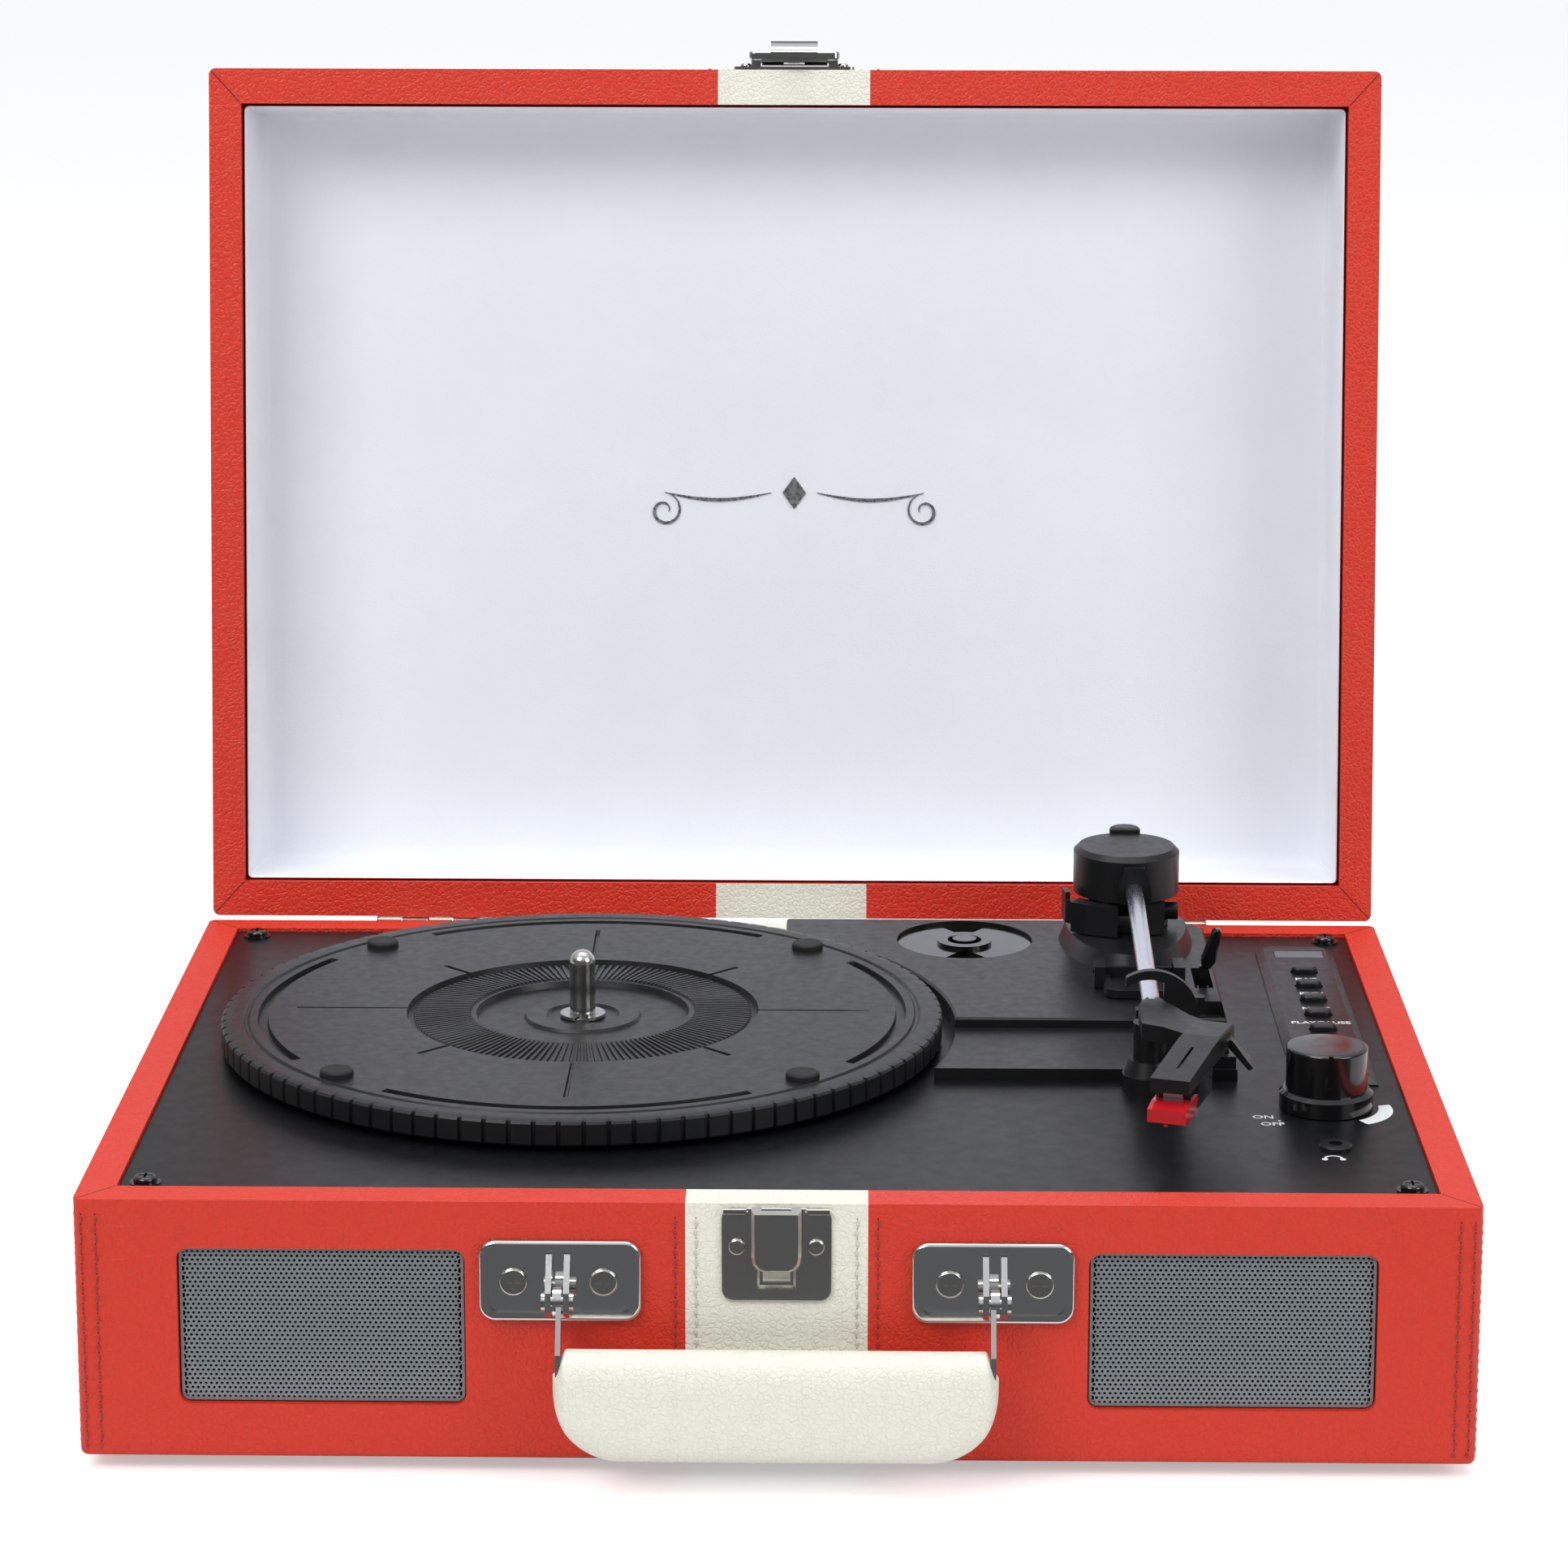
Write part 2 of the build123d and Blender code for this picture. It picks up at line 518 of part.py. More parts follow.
def arm_yoke():
    c = (ARM_X, ARM_Y)
    yoke = post(*c, 10.4, 12.2, 12.5) + post(*c, -11.5, 11, 2.0)
    for side in (-1, 1):
        low, high = sorted((ARM_X + side * 7.5, ARM_X + side * 11.0))
        yoke += block(low, high, ARM_Y - 5, ARM_Y + 5, 11, 19.2)
    wing = prism([(-16.5, -11), (-12.5, -14.5), (-3.2, -18), (-3.2, -14.8), (-9.5, -10),
                  (-14, -6.5)], 10.4, 19.2)
    wing = wing + prism([(4.2, -15.4), (10.5, -13.5), (10.5, -4), (7.5, -4), (7.5, -11),
                         (4.2, -12.4)], 10.4, 19.2)
    yoke += Pos(*c, 0) * wing
    fin = [(-18.8, -3.2), (-18.0, -8.6), (-13.6, -13.6), (-12.6, -12.4), (-16.6, -7.8), (-17.4, -3.2)]
    yoke += Pos(*c, 0) * (prism(fin, 12.4, 19.2) + prism([fin[0], fin[1], fin[4], fin[5]], 19, 21.4))
    yoke += Pos(*c, 0) * prism([(-13, -9), (-7.5, -4), (-7.5, 3), (-12, 0)], 10.4, 16)
    yoke += Pos(*c, 0) * prism([(-9, -12), (9, -12), (9, -6), (-9, -6)], 10.4, 12.2)
    yoke += rod_x(ARM_X + 11, ARM_X + 15, ARM_Y - 3, 14.6, 2.6)
    return yoke - rod_x(ARM_X - 12, ARM_X + 12, ARM_Y, PIVOT_Z, 1.2 + RUN)


def arm_pivot_pin():
    return rod_x(ARM_X - 10.8, ARM_X + 10.8, ARM_Y, PIVOT_Z, 1.2)


def arm_cap():
    c = (ARM_X, ARM_Y)
    cap = post(*c, CAP_LOW, CAP_HIGH, CAP_R)
    cap = chamfer(cap.edges().sort_by(Axis.Z)[-1], 1.5)
    cap += block(ARM_X - 5, ARM_X + 5, ARM_Y - 4, ARM_Y + 4, 13, CAP_LOW)
    knob = post(ARM_X + 0.3, ARM_Y + 14.8, 26, 35.0, 4.6) - block(ARM_X - 9, ARM_X + 9, 0,
                ARM_Y + 13.2, 25, 40)
    knob = fillet(knob.edges().group_by(Axis.Z)[-1], 1.0)
    cap += knob
    socket = [(-4.4, 20.2), (4.4, 20.2), (5.0, 22.5), (4.5, 26), (3.0, 31.0), (-3.0, 31.0),
              (-4.5, 26), (-5.0, 22.5)]
    cap += Pos(TUBE_BACK[0], 0, 0) * front_prism(socket, ARM_Y - 17.4, ARM_Y - 8)
    return cap - arm_pivot_pin() - arm_tube()


def arm_tube():
    """A straight tube that falls a little from the cap to the elbow."""
    back, front = Vector(*TUBE_BACK), Vector(*TUBE_FRONT)
    way = front - back
    start = back - way.normalized() * 3
    tube = Plane(origin=start, z_dir=way) * Pos(0, 0, (way.length + 3) / 2)
    return tube * Cylinder(TUBE_R, way.length + 3)


def shell_frame():
    """Local +Y runs back along the headshell's axis from its front edge."""
    return Pos(SHELL_X, SHELL_Y, 0) * Rot(0, 0, -SHELL_TURN)


def headshell():
    w = SHELL_W / 2
    side = [(0, 18.4), (0, 22.0), (33, 24.2), (48, 23.6), (48, 18.4)]
    shell = shell_frame() * side_prism(side, -w, w)
    slot = shell_frame() * block(-0.4, 0.4, 8, 24, 22.2, 26)
    elbow = [(94.8, 96.4), (97.3, 103), (100.6, 103), (107.7, 87), (113, 80), (107, 68), (100, 76),
             (94.7, 79.1)]
    shell = shell - slot + prism(elbow, 18.4, 22.9)
    root = prism([(111, 64.5), (114, 74.5), (118.2, 72.8), (116.6, 66.5)], 20.4, 22.2)
    blade = front_prism([(114.5, 22.2), (117.5, 22.2), (122.6, 16.6), (121.4, 15.8), (116.0, 20.4),
                         (114.5, 20.4)], 60.4, 71)
    blade -= prism([(114, 59), (124, 59), (121, 61.2), (116.4, 67.6), (114, 66)], 10, 30)
    shell = chamfer(shell.faces().sort_by(Axis.Z)[-1].edges(), 0.35)
    return shell + root + blade - arm_tube()


def cartridge():
    body = block(-4.6, 4.6, 4.5, 27, 11.4, 18.4)
    body = chamfer(body.edges().filter_by(Axis.X).group_by(Axis.Z)[0], 1.5)
    body -= block(-2.8, 2.8, 3.7, 5.2, 13, 18.5)
    return shell_frame() * body


def cartridge_clip():
    clip = block(-2.6, 2.6, 3.9, 4.5, 13.2, 18.4) + block(-2.6, 2.6, 4.4, 4.9, 13.2, 18.4)
    return shell_frame() * clip


def stylus():
    side = [(-2.6, 11.2), (-2.6, 14.6), (1.5, 15.6), (9.6, 15.8), (10.4, 14.4), (6.6, 11.4),
            (3.4, 10.9), (0, 10.6)]
    holder = side_prism(side, -5.05, 5.05)
    holder += side_prism([(3.0, 11.25), (20, 11.25), (20, 10.9), (5, 10.6)], -4.2, 4.2)
    tip = Pos(-0.4, -1.4, 10.6) * Cylinder(0.7, 0.9)
    return shell_frame() * (holder + tip)


def arm_rest():
    rest = post(REST_X, REST_Y, DECK_TOP, 3.4, 7.2) + post(REST_X, REST_Y, SHELF_TOP, 17.5, 4.4)
    cone = Pos(REST_X, REST_Y, 5.4) * Cone(6.8, 5.4, 4)
    rest += cone
    rest += block(REST_X - 3, CLIP_X + 3, REST_Y, 112.4, 5.0, 9.0)
    rest += block(95.0, 109.0, 109.2, 112.4, 5.0, 17.4)
    rest += block(102.6, 109.0, 109.2, 112.4, 16, 21.5)
    return rest + rod_y(CLIP_X, CLIP_Y - 1.6, 110, CLIP_Z, 1.2)


def arm_clip():
    """A curved blade over the tube, open on its left side."""
    centre = Pos(CLIP_X - 6.5, 0, 16.5)
    blade = rod_y(0, CLIP_Y - 1.2, CLIP_Y + 1.2, 0, 12.8) & block(-7, 13, 0, 200, 0, 20)
    blade -= rod_y(-0.6, 0, 200, 0, 10.3) & block(-20, 3.2, 0, 200, -20, 20)
    blade = centre * blade
    blade += rod_y(CLIP_X, CLIP_Y - 1.2, CLIP_Y + 1.2, CLIP_Z, 3.2)
    return blade - rod_y(CLIP_X, 100, 114, CLIP_Z, 1.2 + RUN)


def lift_tray():
    tray = block(89.5, 110, 160, 182, 5.4, 7.6)
    tray = fillet(tray.edges().filter_by(Axis.Z).group_by(Axis.Y)[0], 4)
    tray -= block(91.5, 108, 162.5, 181, 6.6, 8)
    for side in (-1, 1):
        cx = 99.75 + side * 11.2
        loop = block(cx - 1.6, cx + 1.6, 170, 180, 5.4, 11.5)
        tray += loop - block(cx - 2, cx + 2, 172, 178, 7.4, 9.8)
    tray += block(90, 109.5, 176.5, 178, 7, 9.6)
    return tray + post(99.75, 168, 0.5, 6, 1.6)


def cue_lever():
    lever = Pos(LEVER_X, LEVER_Y, LEVER_Z)
    arm = block(-1.2, 1.2, -1.2, 1.2, 0, 8) + rod_x(-1.6, 1.6, 0, 0, 1.8)
    outline = [(-0.6, 7.6), (1.8, 7.2), (3.4, 9.2), (4.9, 17.6), (4.4, 18.8), (3.2, 18.9),
               (2.5, 18.2), (-0.6, 10.2)]
    paddle = front_prism(outline, -1.7, 1.7)
    sides = paddle.faces().sort_by(Axis.Y)
    paddle = chamfer(sides[0].edges() + sides[-1].edges(), 0.5)
    return lever * (arm + paddle + rod_x(-3.6, 3.6, 0, 0, 0.8))


def speed_switch():
    knob = block(SWITCH_X - 2.2, SWITCH_X + 2.0, SWITCH_Y - 4.5, SWITCH_Y + 4.5, 1.6, 4.2)
    knob += block(SWITCH_X - 2.2, SWITCH_X + 2.0, SWITCH_Y - 1.6, SWITCH_Y + 1.6, 1.6, 8.9)
    return knob + block(SWITCH_X - 1.4, SWITCH_X + 1.4, SWITCH_Y - 2, SWITCH_Y + 2, -1.5, 2)


def auto_stop():
    """The raised switch housing on the shelf and its slider."""
    house = block(115.4, 122.0, 106, 121, SHELF_TOP, 5.4) - block(117, 120.4, 108.5, 118.5, 3.6, 9)
    slider = block(117.4, 120.0, 109.5, 113.5, 3.9, 7.4)
    return house, slider


# ---- controls on the right ----
def button_oval(k, grow, z0, z1):
    y = BUTTON_FIRST_Y + k * BUTTON_PITCH
    slot = SlotOverall(BUTTON_L + 2 * grow, BUTTON_W + 2 * grow)
    return Pos(BUTTON_X, y, z0) * extrude(slot, z1 - z0)


def control_strip():
    x0, x1 = STRIP_X - STRIP_W / 2, STRIP_X + STRIP_W / 2
    outline = [(x0, STRIP_Y0), (x1, STRIP_Y0), (x1, STRIP_Y1 - 3), (x1 - 3, STRIP_Y1),
               (x0 + 3, STRIP_Y1), (x0, STRIP_Y1 - 3)]
    strip = prism(outline, DECK_TOP, STRIP_TOP)
    strip = chamfer(strip.faces().sort_by(Axis.Z)[-1].edges(), 1.6, 2.2)
    for k in range(5):
        strip -= button_oval(k, 0.35, -3, 3)
    return strip - block(142.2, 156.6, 217, 224, STRIP_TOP - 0.8, 3)


def button(k):
    body = button_oval(k, 0, -2.0, 2.8)
    return fillet(body.faces().sort_by(Axis.Z)[-1].edges(), 0.9)


def circuit_board():
    board = block(136, 164, 102, 228, -13.6, -12)
    for k in range(5):
        y = BUTTON_FIRST_Y + k * BUTTON_PITCH
        board += block(BUTTON_X - 3, BUTTON_X + 3, y - 3, y + 3, -12, -8.5)
        board += post(BUTTON_X, y, -8.5, -4.6, 1.5)
    board += block(140, 158, 208, 224, -12, -9) + post(160, 106, -12, DECK_TOP - DECK_T, 1.5)
    board += post(142, 205, -12, DECK_TOP - DECK_T, 1.5)
    return board


def volume_knob():
    knob = post(KNOB_X, KNOB_Y, -0.7, 4.4, 12.4)
    knob = chamfer(knob.edges().sort_by(Axis.Z)[-1], 1.0)
    body = post(KNOB_X, KNOB_Y, 4.4, 16, KNOB_R)
    body = fillet(body.edges().sort_by(Axis.Z)[-1], 0.8)
    body -= block(KNOB_X - 0.6, KNOB_X + 0.6, KNOB_Y - KNOB_R - 1, KNOB_Y - KNOB_R + 0.6, 5.5, 17)
    return knob + body + post(KNOB_X, KNOB_Y, -12, 0, 3)


def volume_pot():
    pot = post(KNOB_X, KNOB_Y, -15, -6, 9) + post(KNOB_X, KNOB_Y, -6, DECK_TOP, 3.5)
    return pot - post(KNOB_X, KNOB_Y, -13, 1, 3 + RUN)


def headphone_jack():
    jack = post(JACK_X, JACK_Y, DECK_TOP, 0.4, 4.2) + post(JACK_X, JACK_Y, -17, DECK_TOP, 3.0)
    jack += block(JACK_X - 4.5, JACK_X + 4.5, JACK_Y - 5, JACK_Y + 5, -17, -8)
    jack = chamfer(jack.edges().sort_by(Axis.Z)[-1], 0.5)
    return jack - post(JACK_X, JACK_Y, -15, 2, 1.8)


# ---- speakers and rear sockets ----
def speaker_grille(sx):
    g = 0.2
    plate = rounded_plate(sx * GRILLE_X, GRILLE_Z, GRILLE_W - 2 * g, GRILLE_H - 2 * g, 1.6, 2.8, 2.8)
    ring = rounded_plate(sx * GRILLE_X, GRILLE_Z, GRILLE_W - 2 * g, GRILLE_H - 2 * g, 2.8, 9.5, 2.8)
    ring -= rounded_plate(sx * GRILLE_X, GRILLE_Z, GRILLE_W - 5, GRILLE_H - 5, 2.0, 11, 2.0)
    return plate + ring


def speaker(sx):
    """A shallow driver behind the grille: flange, basket, cone and magnet."""
    x, z = sx * GRILLE_X, GRILLE_Z
    driver = rounded_plate(x, z, 66, 52, BASE_IN_FRONT, 12.5, 4)
    driver += Pos(x, 21.5, z) * Rot(-90, 0, 0) * Cone(24, 13, 18)
    driver -= Pos(x, 18.5, z) * Rot(-90, 0, 0) * Cone(22, 9, 16)
    driver += rod_y(x, 30.4, 42, z, 17)
    return driver + rod_y(x, 24, 31, z, 7)


def rear_plate():
    plate = block(REAR_X - 30, REAR_X + 30, DEPTH, DEPTH + 1.2, REAR_Z - 11, REAR_Z + 11)
    plate = fillet(plate.edges().filter_by(Axis.Y), 2)
    for k in range(4):
        plate -= rod_y(REAR_X + (k - 1.5) * REAR_PITCH, DEPTH - 2, DEPTH + 3, REAR_Z, SOCKET_R)
    return plate


def rear_sockets():
    """Two phono sockets, a line-in jack and a DC inlet, in a row."""
    sockets = []
    for k, (reach, bore) in enumerate(((8.0, 1.6), (8.0, 1.6), (2.0, 1.8), (2.0, 2.8))):
        x = REAR_X + (k - 1.5) * REAR_PITCH
        socket = rod_y(x, DEPTH - 12, DEPTH + reach, REAR_Z, SOCKET_R)
        socket -= rod_y(x, DEPTH - 8, DEPTH + reach + 1, REAR_Z, bore)
        if k == 3:
            socket += rod_y(x, DEPTH - 9, DEPTH + 1, REAR_Z, 0.9)
        sockets.append(socket)
    return sockets


def feet():
    foot_places = [(sx * 150, y) for sx in (-1, 1) for y in (25, 230)]
    rubber = []
    for x, y in foot_places:
        foot = post(x, y, -RIM_Z, -BASE_H, 9)
        rubber.append(fillet(foot.edges().sort_by(Axis.Z)[0], 0.8))
    return rubber


# ---- write every node ----
def main():
    case, band = base_boxes()
    save("base_case", case)
    save("base_cream_band", band)
    save("rubber_feet", *feet())
    shell, lid_band = lid_boxes()
    save("lid_shell", open_lid(shell))
    save("lid_cream_band", open_lid(lid_band))
    save("lid_lining", open_lid(lid_lining()))
    hinges = [hinge(sx * HINGE_X) for sx in (-1, 1)]
    save("base_hinge_leaves", *[h[0] for h in hinges], *[h[2] for h in hinges])
    save("lid_hinge_leaves", *[open_lid(h[1]) for h in hinges])
    plate, slider, latch_screws = latch()
    for screw in latch_screws:
        plate -= screw
    save("latch_plate", plate)
    save("latch_slider", slider)
    hasp_plate, hasp_pin, flap, hasp_screws = hasp()
    for screw in hasp_screws:
        hasp_plate -= screw
    save("hasp_plate", open_lid(hasp_plate))
    save("hasp_flap", open_lid(flap))
    save("hasp_fasteners", open_lid(hasp_pin), *[open_lid(s) for s in hasp_screws])
    save("handle_brackets", *[handle_bracket(sx) for sx in (-1, 1)])
    save("speaker_grilles", *[speaker_grille(sx) for sx in (-1, 1)])
    save("speakers", *[speaker(sx) for sx in (-1, 1)])
    bracket_screws = [Pos(0, -1.4, 0) * dome_screw(sx * x, BRACKET_SCREW_Z, 3.6, 1.2, 8)
                      for sx in (-1, 1) for x in BRACKET_SCREW_X]
    save("front_screws", *bracket_screws, *latch_screws)
    save("handle_pins", *[handle_pin(sx) for sx in (-1, 1)])
    rivets = [strap_rivet(sx) for sx in (-1, 1)]
    grip = handle_grip()
    straps = [handle_strap(sx) for sx in (-1, 1)]
    for strap, rivet in zip(straps, rivets):
        grip = grip - strap - rivet
    straps = [strap - rivet for strap, rivet in zip(straps, rivets)]
    save("handle_grip", grip)
    save("handle_straps", *straps, *rivets)
    save("motor_board", motor_board())
    save("deck_screws", *[deck_screw(x, y) for x, y in DECK_SCREWS])
    save("platter", platter())
    save("platter_pads", *platter_pads())
    save("spindle", spindle())
    save("spindle_clip", spindle_clip())
    save("drive_motor", motor())
    save("motor_pulley", motor_pulley())
    save("drive_belt", drive_belt())
    save("tonearm_platform", tonearm_platform() + auto_stop()[0] - lift_hole() - axle_pocket())
    save("adapter_45", adapter_45())
    save("tonearm_pedestal", tonearm_pedestal())
    save("arm_yoke", arm_yoke())
    save("arm_pivot_pin", arm_pivot_pin())
    save("arm_cap", arm_cap())
    save("arm_tube", arm_tube())
    save("headshell", headshell())
    save("cartridge", cartridge() - cartridge_clip())
    save("cartridge_clip", cartridge_clip())
    save("stylus", stylus() - cartridge() - cartridge_clip())
    save("arm_rest", arm_rest())
    save("arm_clip", arm_clip())
    save("lift_tray", lift_tray())
    save("cue_lever", cue_lever())
    save("speed_switch", speed_switch())
    save("auto_stop_slider", auto_stop()[1])
    save("control_strip", control_strip())
    save("led_window", block(142.4, 156.4, 217.2, 223.8, STRIP_TOP - 0.8, STRIP_TOP))
    for k in range(5):
        save(f"button_{k + 1}", button(k))
    save("circuit_board", circuit_board())
    save("volume_knob", volume_knob())
    save("volume_pot", volume_pot())
    save("headphone_jack", headphone_jack())
    save("rear_plate", rear_plate())
    save("rear_sockets", *rear_sockets())


def lift_hole():
    return post(99.75, 168, 0, 9, 1.6 + RUN)


def axle_pocket():
    """Small holes in the platform's slot walls that hold the cue lever's axle ends."""
    return rod_x(LEVER_X - 4.0, LEVER_X + 4.0, LEVER_Y, LEVER_Z, 0.8 + RUN)


main()
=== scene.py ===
import bpy
import json
from math import copysign, cos, pi, radians, sin, sqrt
from mathutils import Matrix, Vector


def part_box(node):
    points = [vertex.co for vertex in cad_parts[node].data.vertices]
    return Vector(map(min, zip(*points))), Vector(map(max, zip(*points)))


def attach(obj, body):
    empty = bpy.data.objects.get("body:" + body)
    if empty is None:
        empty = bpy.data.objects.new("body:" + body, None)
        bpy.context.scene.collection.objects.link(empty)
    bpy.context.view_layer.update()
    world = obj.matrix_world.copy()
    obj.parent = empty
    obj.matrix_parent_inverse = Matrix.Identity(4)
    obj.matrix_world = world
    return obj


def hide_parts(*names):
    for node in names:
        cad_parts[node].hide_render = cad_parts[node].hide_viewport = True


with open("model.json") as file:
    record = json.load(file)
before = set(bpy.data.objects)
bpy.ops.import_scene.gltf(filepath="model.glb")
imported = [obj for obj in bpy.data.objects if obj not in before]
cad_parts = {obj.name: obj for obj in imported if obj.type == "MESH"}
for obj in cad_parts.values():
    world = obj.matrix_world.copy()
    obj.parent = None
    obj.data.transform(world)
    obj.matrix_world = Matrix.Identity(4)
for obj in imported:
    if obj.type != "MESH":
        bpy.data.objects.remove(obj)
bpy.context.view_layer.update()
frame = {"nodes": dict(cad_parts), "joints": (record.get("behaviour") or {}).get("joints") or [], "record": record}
MM = 0.001

# The case frame, in millimetres: x right, y back from the base's front, z up from its rim.
CASE_LOW, CASE_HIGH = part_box("base_case")
FRONT = Vector((0, CASE_LOW.y, CASE_HIGH.z))
HALF_W = CASE_HIGH.x / MM
DEPTH = (CASE_HIGH.y - CASE_LOW.y) / MM
SIDES = (("left", -1), ("right", 1))
LID_JOINT = next(j for j in frame["joints"] if j["name"] == "lid_hinge")
HINGE = Vector(LID_JOINT["pos_m"])
OPEN_DEG = LID_JOINT["range_deg"][1]


def at(x, y, z):
    """A case-frame point in the part's metres."""
    return FRONT + Vector((x, y, z)) * MM


def case_box(node):
    """A node's lowest and highest corners in the case frame."""
    low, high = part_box(node)
    return (low - FRONT) / MM, (high - FRONT) / MM


OPENED = (Matrix.Translation(HINGE) @ Matrix.Rotation(radians(-OPEN_DEG), 4, "X")
          @ Matrix.Translation(-HINGE))


def in_lid(x, y, z):
    """A point given as on the closed lid, in its open place."""
    return OPENED @ at(x, y, z)


# ---- materials ----
NOISE_SPAN = (0.3, 0.7)      # where nearly all of a noise's values lie


class Paint:
    """A procedural material on one Principled shader, with its texture in object space."""

    def __init__(self, name, colour, rough, metal=0.0):
        self.mat = bpy.data.materials.new(name)
        self.mat.use_nodes = True
        self.tree = self.mat.node_tree
        self.bsdf = self.tree.nodes["Principled BSDF"]
        self.colour = colour
        self.bsdf.inputs["Base Color"].default_value = (*colour, 1)
        self.bsdf.inputs["Roughness"].default_value = rough
        self.bsdf.inputs["Metallic"].default_value = metal
        self.rough = rough
        self.coords = self.tree.nodes.new("ShaderNodeTexCoord").outputs["Object"]
        self.normal = None

    def node(self, kind, **values):
        made = self.tree.nodes.new(kind)
        for key, value in values.items():
            if key in made.inputs:
                made.inputs[key].default_value = value
            else:
                setattr(made, key, value)
        return made

    def link(self, a, b):
        self.tree.links.new(a, b)

    def stretched(self, scale):
        """The object's coordinates, scaled along each axis."""
        mapping = self.node("ShaderNodeMapping")
        mapping.inputs["Scale"].default_value = scale
        self.link(self.coords, mapping.inputs["Vector"])
        return mapping.outputs[0]

    def noise(self, scale, detail=3.0, rough=0.55, vector=None):
        n = self.node("ShaderNodeTexNoise")
        n.inputs["Scale"].default_value = scale
        n.inputs["Detail"].default_value = detail
        n.inputs["Roughness"].default_value = rough
        self.link(vector or self.coords, n.inputs["Vector"])
        return n.outputs["Fac"]

    def ramp(self, fac, low, high, a=0.0, b=1.0):
        """Carries low..high of a texture over to a..b."""
        r = self.node("ShaderNodeMapRange")
        r.inputs["From Min"].default_value = low
        r.inputs["From Max"].default_value = high
        r.inputs["To Min"].default_value = a
        r.inputs["To Max"].default_value = b
        self.link(fac, r.inputs["Value"])
        return r.outputs["Result"]

    def vary_colour(self, fac, dark, light):
        """Mixes two shades of the colour by a texture."""
        mix = self.node("ShaderNodeMix", data_type="RGBA")
        ends = [s for s in mix.inputs if s.type == "RGBA"]
        for socket, factor in zip(ends, (dark, light)):
            socket.default_value = (*[min(1, c * factor) for c in self.colour], 1)
        self.link(fac, mix.inputs["Factor"])
        out = next(s for s in mix.outputs if s.type == "RGBA")
        self.link(out, self.bsdf.inputs["Base Color"])
        return self

    def vary_rough(self, fac, spread):
        """Moves the roughness up and down by a texture."""
        spot = self.ramp(fac, *NOISE_SPAN, self.rough - spread, self.rough + spread)
        self.link(spot, self.bsdf.inputs["Roughness"])
        return self

    def bump(self, height, distance, strength):
        """Adds relief over what is already there; distance is its depth in metres."""
        b = self.node("ShaderNodeBump")
        b.inputs["Strength"].default_value = strength
        b.inputs["Distance"].default_value = distance
        self.link(height, b.inputs["Height"])
        if self.normal:
            self.link(self.normal, b.inputs["Normal"])
        self.normal = b.outputs["Normal"]
        self.link(self.normal, self.bsdf.inputs["Normal"])
        return self

    def shader(self, **values):
        for key, value in values.items():
            self.bsdf.inputs[key.replace("_", " ")].default_value = value
        return self


def leather(name, colour, rough):
    """Grained vinyl: pebbles parted by fine creases, a soft second wave under them."""
    p = Paint(name, colour, rough)
    wander = p.node("ShaderNodeTexNoise", Scale=240)
    p.link(p.coords, wander.inputs["Vector"])
    shift = p.node("ShaderNodeVectorMath", operation="SCALE")
    shift.inputs["Scale"].default_value = 0.0022
    p.link(wander.outputs["Color"], shift.inputs[0])
    moved = p.node("ShaderNodeVectorMath", operation="ADD")
    p.link(p.coords, moved.inputs[0])
    p.link(shift.outputs[0], moved.inputs[1])
    cells = p.node("ShaderNodeTexVoronoi", feature="DISTANCE_TO_EDGE")
    cells.inputs["Scale"].default_value = 620
    p.link(moved.outputs[0], cells.inputs["Vector"])
    pebble = p.ramp(cells.outputs["Distance"], low=0.0, high=0.20)
    p.vary_colour(p.ramp(p.noise(260, detail=2), *NOISE_SPAN), dark=0.985, light=1.01)
    p.vary_rough(p.noise(420), spread=0.05)
    p.bump(pebble, distance=0.00016, strength=0.8)
    p.bump(p.noise(300, detail=2), distance=0.00030, strength=0.45)
    p.bump(p.noise(2600, detail=2), distance=0.00004, strength=0.4)
    return p.shader(Specular_IOR_Level=0.4).mat


def satin_plastic(name, colour, rough, grain=1500, depth=0.00003):
    """Moulded plastic, rubber or ink with a fine even grain."""
    p = Paint(name, colour, rough)
    p.vary_colour(p.noise(90), dark=0.85, light=1.15)
    p.vary_rough(p.noise(300), spread=0.05)
    p.bump(p.noise(grain), distance=depth, strength=0.6)
    return p.shader(Specular_IOR_Level=0.36).mat


def gloss_plastic(name, colour):
    """Polished plastic under a thin clear coat."""
    p = Paint(name, colour, rough=0.16)
    p.vary_colour(p.noise(60, detail=2), dark=0.9, light=1.1)
    p.vary_rough(p.noise(180, detail=4), spread=0.05)
    p.bump(p.noise(400, detail=2), distance=0.00001, strength=0.3)
    return p.shader(Coat_Weight=0.4, Coat_Roughness=0.08).mat


def metal(name, colour, rough, spread, stretch=(1, 1, 1), depth=0.000006):
    """Bare or plated metal; stretch draws its marks out into brushed lines."""
    p = Paint(name, colour, rough, metal=1.0)
    lines = p.noise(900, vector=p.stretched(stretch))
    p.vary_colour(p.noise(70), dark=0.93, light=1.04)
    p.vary_rough(lines, spread)
    p.bump(lines, distance=depth, strength=0.5)
    return p.mat


def lacquered_steel(name, colour):
    """Sheet steel under silver lacquer, less mirror-like than bare metal."""
    p = Paint(name, colour, rough=0.42, metal=0.35)
    p.vary_colour(p.noise(70), dark=0.94, light=1.05)
    p.vary_rough(p.noise(500), spread=0.05)
    p.bump(p.noise(1800, detail=2), distance=0.00001, strength=0.4)
    return p.mat


